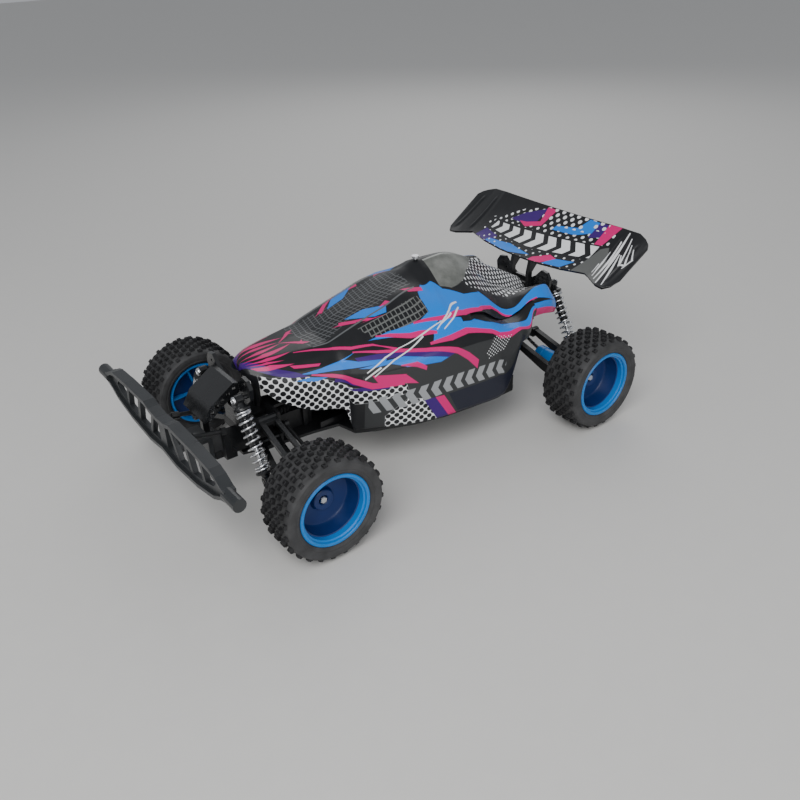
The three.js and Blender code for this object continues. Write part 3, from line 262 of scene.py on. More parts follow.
class Livery(Paint):
    """Gloss paint with printed shapes. Shapes are polygons in a flat coordinate, in millimetres."""

    EDGE = 0.18           # half width of a printed edge

    def __init__(self, name, base):
        super().__init__(name, roughness=0.36, coat=0.15, specular=0.3)
        flat = self.node("SeparateXYZ", (self.node("UVMap", uv_map="livery").outputs[0],))
        self.u = self.math("MULTIPLY", flat.outputs[0], 1 / MM)
        self.w = self.math("MULTIPLY", flat.outputs[1], 1 / MM)
        self.plane = self.node("CombineXYZ", (self.u, self.w, 1.0)).outputs[0]
        tone = self.noise(0.05, 4)
        self.colour = self.mix(tuple(c * 0.8 for c in base), tuple(c * 1.35 for c in base), tone)

    def inside(self, points):
        """How far inside a convex polygon, in millimetres, as a socket."""
        depth = None
        for (ax, ay), (bx, by) in zip(points, points[1:] + points[:1]):
            length = math.hypot(bx - ax, by - ay)
            nx, ny = (ay - by) / length, (bx - ax) / length
            edge = (nx, ny, -(nx * ax + ny * ay))
            gap = self.node("VectorMath", (self.plane, edge), operation="DOT_PRODUCT")
            gap = gap.outputs["Value"]
            depth = gap if depth is None else self.math("MINIMUM", depth, gap)
        return depth

    def area(self, *polygons):
        """Mask of the union of polygons, full right up to their edges so that pieces meet without a seam."""
        depth = None
        for points in polygons:
            for piece in convex_pieces(points):
                one = self.inside(piece)
                depth = one if depth is None else self.math("MAXIMUM", depth, one)
        return self.step(depth, -2 * self.EDGE, 0.0)

    def stroke(self, points, widths):
        """Convex polygons that follow a line, as wide at each point as widths says."""
        polygons = []
        for (a, wa), (b, wb) in zip(zip(points, widths), zip(points[1:], widths[1:])):
            along = Vector(b) - Vector(a)
            side = Vector((-along.y, along.x)).normalized()
            reach = along.normalized() * 0.4
            a0, b0 = Vector(a) - reach, Vector(b) + reach
            corners = [a0 + side * wa / 2, b0 + side * wb / 2, b0 - side * wb / 2, a0 - side * wa / 2]
            polygons.append([tuple(c) for c in corners])
        return polygons

    def lay(self, colour, mask, where=None):
        if where is not None:
            mask = self.math("MULTIPLY", mask, where)
        self.colour = self.mix(self.colour, colour, mask)

    def dots(self, u, v, pitch_u, pitch_v, radius):
        """Mask of round dots on a staggered lattice. u, v are sockets in millimetres."""
        a = self.math("DIVIDE", u, pitch_u)
        b = self.math("DIVIDE", v, pitch_v)
        s, t = self.math("ADD", a, b), self.math("SUBTRACT", a, b)
        du = self.math("SUBTRACT", self.math("FRACT", s), 0.5)
        dv = self.math("SUBTRACT", self.math("FRACT", t), 0.5)
        x = self.math("MULTIPLY", self.math("ADD", du, dv), pitch_u / 2)
        y = self.math("MULTIPLY", self.math("SUBTRACT", du, dv), pitch_v / 2)
        far = self.math("SQRT", self.math("ADD", self.math("MULTIPLY", x, x), self.math("MULTIPLY", y, y)))
        return self.step(self.math("SUBTRACT", radius, far), -0.15, 0.15)

    def lines(self, value, pitch, width):
        """Mask of straight lines where value, in millimetres, passes each pitch."""
        part = self.math("FRACT", self.math("DIVIDE", value, pitch))
        far = self.math("MULTIPLY", self.math("ABSOLUTE", self.math("SUBTRACT", part, 0.5)), pitch)
        return self.step(self.math("SUBTRACT", width / 2, far), -0.12, 0.12)

    def blend(self, weight_a, a, weight_b, b):
        left = self.math("MULTIPLY", a, weight_a)
        return self.math("MULTIPLY_ADD", b, weight_b, left)

    def finish(self, roughness=(0.30, 0.42)):
        self.feed("Base Color", self.colour)
        sheen = self.noise(0.12, 3)
        self.feed("Roughness", self.step(sheen, 0.3, 0.7, *roughness))
        self.bump(self.noise(0.35, 2), 0.06, 0.4)
        return self.material


# ------------------------------------------------------------------ mesh building
class Shape:
    """Vertices and faces of one piece, in millimetres, gathered from simple builders."""

    def __init__(self):
        self.verts = []
        self.faces = []
        self.slots = []

    def add(self, verts, faces, slot=0):
        start = len(self.verts)
        self.verts += [tuple(v) for v in verts]
        self.faces += [tuple(start + i for i in f) for f in faces]
        self.slots += [slot] * len(faces)

    def lathe(self, profile, origin, axis, segments, slot=0, close=True):
        """Turns (radius, along) points round the axis through origin."""
        axis = Vector(axis).normalized()
        side = axis.orthogonal().normalized()
        other = axis.cross(side)
        rings = []
        verts = []
        for radius, along in profile:
            middle = Vector(origin) + axis * along
            count = 1 if radius < 1e-6 else segments
            rings.append(list(range(len(verts), len(verts) + count)))
            for k in range(count):
                turn = 2 * math.pi * k / segments
                verts.append(middle + (side * math.cos(turn) + other * math.sin(turn)) * radius)
        faces = []
        pairs = list(zip(rings, rings[1:]))
        if close:
            pairs.append((rings[-1], rings[0]))
        for low, high in pairs:
            if len(low) == 1 and len(high) == 1:
                continue
            for k in range(segments):
                n = (k + 1) % segments
                if len(low) == 1:
                    faces.append((low[0], high[n], high[k]))
                elif len(high) == 1:
                    faces.append((low[k], low[n], high[0]))
                else:
                    faces.append((low[k], low[n], high[n], high[k]))
        self.add(verts, faces, slot)

    def tube(self, points, radius, sides, slot=0):
        """A round bar through points, with flat ends."""
        points = [Vector(p) for p in points]
        verts = []
        side = None
        for k, point in enumerate(points):
            ahead = points[min(k + 1, len(points) - 1)] - points[max(k - 1, 0)]
            ahead.normalize()
            side = ahead.orthogonal() if side is None else side - ahead * side.dot(ahead)
            side.normalize()
            other = ahead.cross(side)
            for i in range(sides):
                turn = 2 * math.pi * i / sides
                verts.append(point + (side * math.cos(turn) + other * math.sin(turn)) * radius)
        faces = []
        for k in range(len(points) - 1):
            for i in range(sides):
                n = (i + 1) % sides
                a = k * sides
                faces.append((a + i, a + n, a + sides + n, a + sides + i))
        faces.append(tuple(range(sides))[::-1])
        faces.append(tuple(range(len(verts) - sides, len(verts))))
        self.add(verts, faces, slot)

    def prism(self, base, top, slot=0):
        """Joins two outlines of as many points, one above the other."""
        n = len(base)
        faces = [tuple(range(n))[::-1], tuple(range(n, 2 * n))]
        faces += [(i, (i + 1) % n, n + (i + 1) % n, n + i) for i in range(n)]
        self.add([*base, *top], faces, slot)

    def build(self, name, body, materials, sharp):
        """Makes the object, in metres, riding on its body."""
        mesh = bpy.data.meshes.new(name)
        mesh.from_pydata([tuple(c * MM for c in v) for v in self.verts], [], self.faces)
        mesh.polygons.foreach_set("material_index", self.slots)
        for material in materials:
            mesh.materials.append(material)
        work = bmesh.new()
        work.from_mesh(mesh)
        bmesh.ops.remove_doubles(work, verts=work.verts, dist=0.002 * MM)
        bmesh.ops.recalc_face_normals(work, faces=work.faces)
        work.to_mesh(mesh)
        work.free()
        return place(name, mesh, body, sharp)


def place(name, mesh, body, sharp):
    """Links a mesh as a piece that rides on its body, smooth except where faces turn by more than sharp."""
    mesh.polygons.foreach_set("use_smooth", [True] * len(mesh.polygons))
    mesh.set_sharp_from_angle(angle=math.radians(sharp))
    obj = bpy.data.objects.new(name, mesh)
    bpy.context.scene.collection.objects.link(obj)
    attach(obj, body)
    return obj


def soften(obj, width, segments, angle):
    """Rounds an object's hard edges."""
    edge = obj.modifiers.new("soft_edges", "BEVEL")
    edge.width = width * MM
    edge.segments = segments
    edge.limit_method = "ANGLE"
    edge.angle_limit = math.radians(angle)
    edge.harden_normals = True


# ------------------------------------------------------------------ body shell surface
def slopes(xs, values):
    """Slope at each station so that the curve through them never overshoots."""
    steps = np.diff(xs)[:, None, None]
    rise = np.diff(values, axis=0) / steps
    result = np.zeros_like(values)
    result[0], result[-1] = rise[0], rise[-1]
    for i in range(1, len(xs) - 1):
        a, b = rise[i - 1], rise[i]
        near = 2 * steps[i] + steps[i - 1]
        far = steps[i] + 2 * steps[i - 1]
        safe_a = np.where(a == 0, 1, a)
        safe_b = np.where(b == 0, 1, b)
        result[i] = np.where(a * b > 0, (near + far) / (near / safe_a + far / safe_b), 0)
    return result


STATION_X = np.array([s[0] for s in SHELL], float)
STATION_YZ = np.array([s[1:] for s in SHELL], float)
STATION_SLOPE = slopes(STATION_X, STATION_YZ)


def section(x):
    """The seven points A to G at one x."""
    i = int(np.clip(np.searchsorted(STATION_X, x) - 1, 0, len(STATION_X) - 2))
    width = STATION_X[i + 1] - STATION_X[i]
    t = (x - STATION_X[i]) / width
    a = (1 + 2 * t) * (1 - t) ** 2
    b = t * (1 - t) ** 2 * width
    c = t * t * (3 - 2 * t)
    d = t * t * (t - 1) * width
    return (a * STATION_YZ[i] + b * STATION_SLOPE[i] + c * STATION_YZ[i + 1] + d * STATION_SLOPE[i + 1])


def skin_point(points, v):
    """Point on a rounded section, v running from 0 at A to 6 at G."""
    k = min(int(v), 5)
    f = v - k
    for corner, part in ((k, f), (k + 1, f - 1)):
        r = CORNER[corner]
        if r and abs(part) < r and corner < 6:
            here = points[corner]
            after = points[corner + 1]
            before = points[corner - 1] if corner else points[1] * np.array((-1, 1))
            start = here + (before - here) * r
            end = here + (after - here) * r
            s = (part + r) / (2 * r)
            return (1 - s) ** 2 * start + 2 * s * (1 - s) * here + s * s * end
    return points[k] * (1 - f) + points[k + 1] * f


def bell(value, low, high, ramp):
    """1 between low and high, easing to 0 over ramp outside them."""
    t = min(1, max(0, (value - low) / ramp + 1), max(0, (high - value) / ramp + 1))
    return max(0, t) ** 2 * (3 - 2 * max(0, t))


def shell_point(x, v):
    """Outer skin of the body, left half: the slot between the fins is pressed in."""
    y, z = skin_point(section(x), v)
    slot = bell(x, -112, -48, 10) * bell(v, 3.1, 3.34, 0.09)
    return x, y - 4.5 * slot, z + 0.6 * slot


def printed_skin(node, verts, uvs, across, materials, wall, edge_material, sharp):
    """Thin moulding over a grid of points, across points to a row, with its livery laid flat in the uvs."""
    name = node.split("_")[0] + "_skin"
    starts = [a for a in range(len(verts) - across) if (a + 1) % across]
    faces = [(a, a + across, a + across + 1, a + 1) for a in starts]
    mesh = bpy.data.meshes.new(name)
    mesh.from_pydata([tuple(c * MM for c in p) for p in verts], [], faces)
    layer = mesh.uv_layers.new(name="livery")
    for loop in mesh.loops:
        layer.data[loop.index].uv = uvs[loop.vertex_index]
    for material in materials:
        mesh.materials.append(material)
    skin = place(name, mesh, "chassis", sharp=sharp)
    solid = skin.modifiers.new("wall", "SOLIDIFY")
    solid.thickness = wall * MM
    solid.offset = -1
    solid.material_offset = 1
    solid.material_offset_rim = edge_material
    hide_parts(node)
    return skin


def body_shell(paint):
    rows = [(x, 1.0) for x in np.arange(SHELL[0][0], NOSE_X + 0.1, SKIN_STEP)]
    rows += [(NOSE_X + 1.5 * math.sin(a), math.cos(a)) for a in (0.5, 0.9, 1.25, 1.5)]
    verts = []
    uvs = []
    for x, shrink in rows:
        for k in range(-V_STEPS, V_STEPS + 1):
            v = abs(k) * 6 / V_STEPS
            _, y, z = shell_point(min(x, NOSE_X), v)
            if shrink < 1:
                y, z = y * shrink, NOSE_Z + (z - NOSE_Z) * shrink
            verts.append((x, math.copysign(y, k) if k else 0, z))
            uvs.append((x * MM, v * V_SCALE * MM))
    printed_skin("body_shell", verts, uvs, 2 * V_STEPS + 1, [paint, MAT["shell_inside"]], SHELL_WALL, 0, 50)


def body_livery():
    """Black gloss with blue, pink and purple flashes, grid windows and white halftone."""
    paint = Livery("body_livery", BLACK)
    x, y, z = paint.node("SeparateXYZ", (paint.position(),)).outputs
    y = paint.math("ABSOLUTE", y)

    def skin(*points):
        return [(px, v * V_SCALE) for px, v in points]

    def area(*polygons):
        return paint.area(*[skin(*p) for p in polygons])

    def line(points, widths):
        return paint.area(*paint.stroke(skin(*points), widths))

    # painted sheen: grey over the side panel and sill, where the gloss catches the light
    paint.lay(SIDE_SHEEN, area([(60, 4.1), (-100, 4.1), (-100, 6.2), (60, 6.2)]))
    # painted shade and floor reflection on the sill facet, which slopes inward
    paint.lay(SILL_SHADE, area([(-8, 5.3), (-90, 5.25), (-90, 6.2), (-20, 6.2)]))
    # windscreen grid
    screen = area([(86, -0.3), (86, 0.95), (70, 0.85), (47, 0.62), (47, -0.3)],
                  [(47.5, -0.3), (47.5, 0.62), (13, 0.76), (-14, 0.8), (-14, -0.3)])
    grid = paint.math("MAXIMUM", paint.lines(paint.blend(1, x, 0.25, y), 4.4, 0.7),
                      paint.lines(paint.blend(1, y, 0.03, x), 3.6, 0.6))
    paint.lay(GREY_LINE, grid, screen)
    # side window mesh
    window = area([(47, 1.3), (24, 1.32), (-13, 1.42), (-13, 2.18), (3, 2.3), (40, 2.2)])
    paint.lay(BLACK, window)
    mesh = paint.math("MAXIMUM", paint.lines(paint.blend(1.0, x, 0.12, z), 3.8, 0.8),
                      paint.lines(paint.blend(1.0, z, 0.22, x), 3.0, 0.7))
    paint.lay(MESH_GREY, mesh, window)
    # white halftone with black dots along the lower front side
    tone = area([(132, 3.75), (116, 3.35), (100, 3.5), (100, 6.1), (132, 6.1)],
                [(101, 3.5), (79, 4.3), (72, 4.55), (70, 6.1), (101, 6.1)],
                [(73, 4.5), (28, 4.62), (26, 4.93), (70, 5.1)],
                [(45, 5.62), (27, 5.12), (10, 5.3), (-1, 6.2), (45, 6.2)])
    dots = paint.dots(x, z, 6.6, 6.6, 2.05)
    paint.lay(WHITE, tone)
    paint.lay(BLACK, dots, tone)
    # engine cover rows
    cover = area([(-74, 0.86), (-56, 1.38), (-60, 1.8), (-86, 1.62), (-100, 1.6)],
                 [(-95, -0.3), (-73, 0.88), (-99, 1.62), (-121, 1.75), (-121, -0.3)],
                 [(-120, -0.3), (-120, 1.75), (-153, 1.95), (-153, -0.3)])
    rows = paint.dots(x, paint.blend(1, paint.w, -0.222, x), 4.4, 5.4, paint.step(x, -140, -56, 1.25, 0.8))
    paint.lay(WHITE, rows, cover)
    # blue
    paint.lay(BLUE, area(
        [(-14, 1.3), (-21, 1.08), (-30, 1.45), (-36, 2.0), (-36, 2.9), (-14, 2.7)],
        [(-35, 2.02), (-52, 2.2), (-56, 2.82), (-36, 2.92)],
        [(-51, 2.2), (-69, 1.88), (-74, 2.38), (-56, 2.82)],
        [(-68, 1.88), (-80, 2.12), (-80, 2.5), (-73, 2.4)],
        [(-79, 2.1), (-90, 2.3), (-92, 3.05), (-84, 2.75), (-79, 2.46)],
        [(-89, 2.3), (-100, 2.34), (-104, 3.12), (-91, 3.06)],
        [(-99, 2.34), (-122, 2.1), (-124, 2.9), (-103, 3.12)],
        [(-121, 2.1), (-153, 2.0), (-153, 3.6), (-124, 2.9)],
        [(-14, 1.3), (-14, 2.7), (2, 2.42), (-10, 2.2), (-12, 1.5)],
        [(44, 2.18), (28, 2.1), (-2, 2.42), (-14, 2.68), (-4, 3.1), (6, 2.85), (17, 2.7), (30, 2.4)],
        [(-4, 3.1), (-15, 2.75), (-32, 3.06), (-32, 3.5), (0, 3.55), (-3, 3.3)],
        [(-31, 3.22), (-57, 3.45), (-57, 3.78), (-30, 3.5)],
        [(-56, 3.4), (-84, 3.42), (-84, 3.95), (-62, 4.0), (-55, 3.78)],
        [(-83, 3.42), (-118, 3.72), (-120, 4.2), (-99, 4.1), (-84, 3.95)],
        [(-117, 3.5), (-153, 3.5), (-153, 5.2), (-120, 4.6)],
        [(48, 0.52), (32, 0.58), (17, 1.0), (20, 1.26), (30, 1.16), (38, 0.92)],
        [(104, 3.3), (87, 3.12), (61, 2.58), (69, 2.85), (80, 3.22), (91, 3.44)],
        [(92, 3.42), (70, 2.84), (61, 3.18), (39, 3.42), (41, 3.6), (61, 3.55)],
        [(60, 3.66), (38, 3.56), (25, 3.6), (26, 4.08), (38, 3.75), (54, 3.75)],
        [(26, 3.6), (11, 3.93), (-9, 4.2), (-2, 4.26), (12, 4.18), (26, 4.08)],
        [(108, 3.86), (97, 3.68), (85, 3.9), (93, 4.06)],
    ))
    # purple
    paint.lay(PURPLE, area(
        [(139, 0.6), (130, 1.6), (121, 2.35), (106, 3.05), (97, 3.6), (112, 3.5), (130, 3.0), (139, 2.4)],
        [(61, 2.95), (45, 3.08), (30, 3.3), (40, 3.43), (60, 3.2)],
        [(30, 3.3), (8, 3.72), (-16, 4.15), (-9, 4.2), (11, 3.93), (26, 3.58), (40, 3.43)],
        [(62, 4.5), (46, 4.52), (40, 4.66), (72, 4.6)],
        [(14, 5.3), (4, 5.3), (-11, 6.2), (0, 6.2)],
        [(79, 4.1), (60, 4.3), (58, 4.45), (80, 4.3)],
    ))
    # pink
    paint.lay(PINK, area(
        [(137, 0.5), (122, 0.14), (104, 0.1), (122, 0.42)],
        [(136, 1.2), (120, 0.56), (97, 0.36), (119, 0.9)],
        [(135, 1.75), (120, 1.1), (103, 0.98), (118, 1.4)],
        [(134, 2.2), (122, 1.6), (111, 1.66), (121, 1.82)],
        [(134, 2.62), (121, 1.98), (105, 2.2), (117, 2.42), (131, 2.9)],
        [(108, 2.34), (86, 2.66), (88, 2.86), (106, 2.66)],
        [(4, 5.3), (-3, 5.3), (-18, 6.2), (-11, 6.2)],
        [(53, 4.12), (28, 4.32), (19, 4.68), (36, 4.52), (48, 4.5)],
        [(58, 0.56), (49, 0.68), (37, 1.02), (32, 1.2), (28, 1.26), (36, 1.18), (46, 0.86)],
        [(56, 0.62), (45, 0.95), (45, 0.8), (54, 0.5)],
        [(21, 0.9), (12, 1.0), (14, 0.82)],
        [(101, 0.05), (88, 0.6), (83, 0.6), (92, 0.3)],
        [(91, 0.5), (86, 0.36), (88, 0.56)],
        [(-3, 0.84), (-20, 1.16), (-19, 1.3), (-7, 1.1)],
    ))
    flashes = [
        ([(100, 1.12), (85, 1.3), (72, 1.58), (60, 2.18), (44, 2.48), (38, 2.75)],
         [0.6, 2.4, 2.8, 3.0, 1.6, 0.3]),
        ([(60, 2.5), (44, 2.95), (25, 3.3), (8, 3.68), (-18, 4.12), (-28, 4.38), (-36, 4.66)],
         [1.2, 2.2, 2.4, 2.4, 2.6, 3.2, 3.8]),
        ([(39, 2.7), (25, 3.3)], [0.6, 2.4]),
        ([(95, 3.5), (81, 3.82), (67, 4.22), (54, 4.48), (30, 4.6)], [1.4, 4, 3.6, 3.2, 1.0]),
        ([(38, 2.1), (28, 2.32), (14, 2.78), (5, 2.95), (-6, 3.2)], [0.8, 3, 4, 4, 1.5]),
        ([(6, 2.34), (-16, 2.72), (-38, 2.94), (-56, 2.86), (-73, 2.44), (-79, 2.5), (-86, 2.84), (-92, 3.08),
          (-103, 3.13), (-122, 2.88)], [1.2, 3.4, 2.6, 2.4, 2.2, 2.2, 2.2, 2.0, 1.8, 1.6]),
        ([(2, 3.52), (-16, 3.62), (-32, 3.57), (-45, 3.72), (-55, 3.83), (-62, 4.03), (-74, 4.06),
          (-86, 3.98), (-99, 4.15), (-116, 4.3)], [1.4, 3.2, 3.2, 2.4, 2.6, 3, 3.4, 4, 5, 5]),
        ([(30, 3.98), (18, 4.1), (11, 4.3)], [0.4, 2.6, 1.6]),
    ]
    for points, widths in flashes:
        paint.lay(PINK, line(points, widths))
    paint.lay(PINK, area([(-118, 4.35), (-153, 5.0), (-153, 5.9), (-118, 6.1)]))
    # painted shade: black in the pressed-in slot between the fins
    paint.lay(BLACK, area(
        [(-44, 3.02), (-58, 2.95), (-72, 2.62), (-80, 2.72), (-84, 3.42), (-58, 3.44), (-47, 3.34)],
        [(-83, 2.98), (-92, 3.2), (-112, 3.28), (-116, 3.7), (-100, 3.62), (-83, 3.44)],
    ))
    # fan of dots on the shoulder and pale scratches
    fan = area([(-56, 4.02), (-75, 4.12), (-66, 4.45), (-48, 4.62), (-46, 4.45)])
    paint.lay(WHITE, paint.dots(x, z, 3.2, 3.2, 0.5), fan)
    scratch = [
        ([(-8, 3.1), (-24, 2.62), (-38, 2.55)], [0.4, 1.0, 0.4]),
        ([(-14, 3.2), (-28, 2.9), (-36, 2.74)], [0.3, 0.8, 0.3]),
        ([(-12, 2.98), (-26, 2.74)], [0.3, 1.2]),
        ([(56, 3.95), (40, 3.38), (27, 3.12)], [0.4, 1.0, 0.3]),
        ([(51, 4.15), (34, 3.62), (16, 3.3)], [0.3, 0.8, 0.3]),
        ([(58, 4.2), (46, 3.85)], [0.4, 1.0]),
        ([(26, 3.12), (2, 2.98), (-14, 2.86)], [0.3, 0.7, 0.3]),
        ([(22, 3.42), (6, 3.1)], [0.4, 0.9]),
    ]
    for points, widths in scratch:
        paint.lay(WHITE, line(points, widths))
    # side panel chevrons in place of lettering
    band = area([(58, 5.46), (30, 5.38), (-5, 5.2), (-64, 5.18), (-67, 4.78), (-5, 4.78), (57, 4.95)])
    fold = paint.math("ABSOLUTE", paint.math("SUBTRACT", z, 70))
    chevron = paint.lines(paint.blend(1, x, 0.55, fold), 10.5, 6.2)
    paint.lay(SILVER, chevron, band)
    # cockpit window
    pane = area([(-38, 0.32), (-58, 0.12), (-92, 0.05), (-80, 0.85), (-62, 1.5), (-45, 1.96), (-36, 1.9),
                 (-37, 1.2)])
    dusk = paint.mix(GLASS_GREY, (0.22, 0.225, 0.21), paint.step(paint.noise(0.05, 5), 0.42, 0.66))
    paint.lay(dusk, pane)
    # painted highlight along the top edge of the cockpit pane
    paint.lay((0.30, 0.31, 0.29), line([(-38, 0.3), (-58, 0.12), (-92, 0.05)], [1.2, 1.6, 1.0]))
    # painted highlight along the moulded edge, where it catches the light
    paint.lay(EDGE_HIGHLIGHT, line([(84, 1.02), (60, 1.0), (30, 1.0), (-14, 1.02)], [0.7, 0.9, 0.9, 0.7]))
    return paint.finish()


# ------------------------------------------------------------------ wing
def wing_point(y, t):
    """Top surface: y across, t from the front edge to the rear edge."""
    ys = [s[0] for s in WING]
    side = abs(y)
    spot = []
    for axis in (0, 1):
        front = np.interp(side, ys, [s[1][axis] for s in WING])
        rear = np.interp(side, ys, [s[2][axis] for s in WING])
        spot.append(front + (rear - front) * t)
    x, z = spot
    hollow = WING_CAMBER * 4 * t * (1 - t) * bell(side, 0, 96, 10)
    rib = 0.9 * (bell(side, 79.5, 80.5, 1.4) + bell(side, 96.5, 97.5, 1.4)) * bell(t, 0.2, 0.8, 0.08)
    return x, y, z - hollow + rib


def wing(paint):
    steps = 26
    verts = []
    uvs = []
    for y in np.arange(-WING_SPAN, WING_SPAN + 0.1, 1.0):
        for k in range(steps + 1):
            t = k / steps
            x, _, z = wing_point(y, t)
            verts.append((x, y, z + WING_T))
            uvs.append((y * MM, t * CHORD * MM))
    blade = printed_skin("wing", verts, uvs, steps + 1, [paint, MAT["black_gloss"]], WING_T, 1, 60)
    soften(blade, 0.5, 3, 60)


def wing_livery():
    """Black blade: printed centre panel and pale claw marks on the left outer panel."""
    paint = Livery("wing_livery", BLACK)
    y, w = paint.u, paint.w

    def deck(*points):
        return [(py, t * CHORD) for py, t in points]

    def area(*polygons):
        return paint.area(*[deck(*p) for p in polygons])

    panel = area([(-64, 0.01), (72, 0.01), (73, 0.985), (-8, 0.985), (-34, 0.84), (-64, 0.5)])
    halftone = paint.dots(y, w, 9.0, 9.0, paint.step(w, 0, CHORD, 0.9, 2.0))
    paint.lay(WHITE, halftone, panel)
    paint.lay(PURPLE, area([(-66, 0.0), (-36, 0.0), (-40, 0.2), (-60, 0.24)],
                           [(-42, 0.6), (-31, 0.78), (-10, 0.95), (-12, 0.68), (-22, 0.6)],
                           [(48, 0.97), (66, 0.98), (68, 0.78), (50, 0.7)]))
    paint.lay(BLUE, area([(-48, 0.02), (-46, 0.09), (-18, 0.17), (10, 0.1), (-12, 0.01)],
                         [(10, 0.66), (36, 0.68), (50, 0.78), (51, 0.97), (40, 0.98), (34, 0.8), (12, 0.74)],
                         [(30, 0.02), (48, 0.03), (56, 0.2), (36, 0.16)]))
    paint.lay(PINK, area(
        [(-30, 0.62), (-20, 0.56), (-4, 0.66), (0, 0.97), (-11, 0.97), (-8, 0.72), (-22, 0.64)],
        [(61, 0.99), (74, 0.99), (67, 0.62), (60, 0.6)],
        [(14, 0.0), (16, 0.08), (30, 0.22), (38, 0.17), (28, 0.02)],
    ))
    paint.lay(WHITE, halftone, area([(30, 0.98), (-2, 0.98), (8, 0.74), (44, 0.76)],
                                    [(-60, 0.0), (-30, 0.0), (-36, 0.2), (-56, 0.2)],
                                    [(48, 0.98), (62, 0.98), (62, 0.84), (48, 0.84)]))
    # chevrons in place of lettering
    backing = area([(-60, 0.26), (-58, 0.5), (70, 0.62), (68, 0.3), (0, 0.2)])
    paint.lay(BLACK, backing)
    band = area([(-56, 0.3), (-54, 0.46), (66, 0.59), (65, 0.34), (0, 0.24)])
    fold = paint.math("ABSOLUTE", paint.math("SUBTRACT", w, 24))
    paint.lay(WHITE, paint.lines(paint.blend(1, y, 0.7, fold), 15.5, 9.5), band)
    # grey end of the panel beside the fold, and the claw marks
    paint.lay((0.10, 0.103, 0.10), area([(60, 0.0), (69, 0.55), (75, 0.62), (88, 0.2), (90, 0.0)]))
    claws = [
        ([(90, 0.04), (86, 0.5), (83, 0.95)], [0.8, 2.6, 0.6]),
        ([(85, 0.06), (84, 0.4), (81.5, 0.78)], [0.5, 2.0, 0.5]),
        ([(81, 0.08), (80, 0.34), (79, 0.56)], [0.4, 1.5, 0.4]),
        ([(96, 0.06), (92, 0.34), (88, 0.6)], [0.5, 1.8, 0.5]),
        ([(90, 0.6), (95, 0.46), (88, 0.88)], [0.6, 1.6, 0.4]),
        ([(95, 0.46), (100, 0.5), (92, 0.8)], [1.0, 1.4, 0.4]),
        ([(100, 0.44), (103, 0.6), (97, 0.76)], [0.8, 1.4, 0.4]),
        ([(78, 0.12), (77.5, 0.3)], [0.4, 1.0]),
    ]
    for points, widths in claws:
        paint.lay(WHITE, paint.area(*paint.stroke(deck(*points), widths)))
    return paint.finish()


# ------------------------------------------------------------------ wheels
TREAD_ROWS = 8
TREAD_PITCH = 4.35
TREAD_COUNT = 24
KNOB = 1.9           # half width at the root
CARCASS_R = 39.7


def tyre(name, x, side, body):
    shape = Shape()
    bead = LIP_R + 0.3
    half = [(RIM_R + 0.3, 0), (RIM_R + 0.3, 14.6), (bead, 14.6), (bead, 16.8), (30.2, 17.9), (31.6, 18.5),
            (32.4, 18.3), (33.2, 18.75), (36, 19), (37.8, 18.7), (38.9, 17.6), (39.5, 16), (CARCASS_R, 12)]
    profile = half + [(r, -s) for r, s in reversed(half[1:])]
    middle = Vector((x, WHEEL_Y * side, TYRE_R))
    shape.lathe(profile, middle, (0, 1, 0), 96, slot=0)
    for row in range(TREAD_ROWS):
        across = (row - (TREAD_ROWS - 1) / 2) * TREAD_PITCH
        edge = abs(across) > 15
        low = CARCASS_R - (1.3 if edge else 0.4)
        high = TYRE_R - (1.4 if edge else 0)
        for k in range(TREAD_COUNT):
            turn = 2 * math.pi * (k + 0.5 * (row % 2)) / TREAD_COUNT
            knob(shape, middle, turn, across, low, high)
    for k in range(TREAD_COUNT):
        for row in range(TREAD_ROWS - 1):
            rib(shape, middle, k, row)
    piece = shape.build(name, body, [MAT["tyre_carcass"], MAT["tyre_knob"]], sharp=30)
    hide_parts(name.replace("_rubber", ""))


def radial(middle, turn, radius, across, along=0.0):
    out = Vector((math.sin(turn), 0, math.cos(turn)))
    ahead = Vector((math.cos(turn), 0, -math.sin(turn)))
    return middle + out * radius + ahead * along + Vector((0, across, 0))


def knob(shape, middle, turn, across, low, high):
    """A tapered stud with a dished top."""
    def ring(radius, half):
        corners = [(-1, -1), (1, -1), (1, 1), (-1, 1)]
        return [radial(middle, turn, radius, across + half * b, half * a) for a, b in corners]
    rings = [ring(low, KNOB), ring(high - 0.25, KNOB - 0.35), ring(high, KNOB - 0.6),
             ring(high, KNOB - 1.05), ring(high - 0.9, KNOB - 1.25)]
    verts = [v for r in rings for v in r]
    faces = []
    for k in range(len(rings) - 1):
        for i in range(4):
            n = (i + 1) % 4
            faces.append((4 * k + i, 4 * k + n, 4 * k + 4 + n, 4 * k + 4 + i))
    faces.append((16, 17, 18, 19))
    shape.add(verts, faces, 1)


def rib(shape, middle, k, row):
    """A thin raised line from one stud to its neighbour in the next row."""
    ends = []
    for r in (row, row + 1):
        turn = 2 * math.pi * (k + 0.5 * (r % 2)) / TREAD_COUNT
        ends.append((turn, (r - (TREAD_ROWS - 1) / 2) * TREAD_PITCH))
    wide, low, high = 0.3, CARCASS_R - 0.5, CARCASS_R + 0.45
    base = []
    top = []
    for (turn, across), order in ((ends[0], (-1, 1)), (ends[1], (1, -1))):
        for s in order:
            base.append(radial(middle, turn, low, across, wide * s))
            top.append(radial(middle, turn, high, across, wide * s))
    shape.prism(base, top, 0)


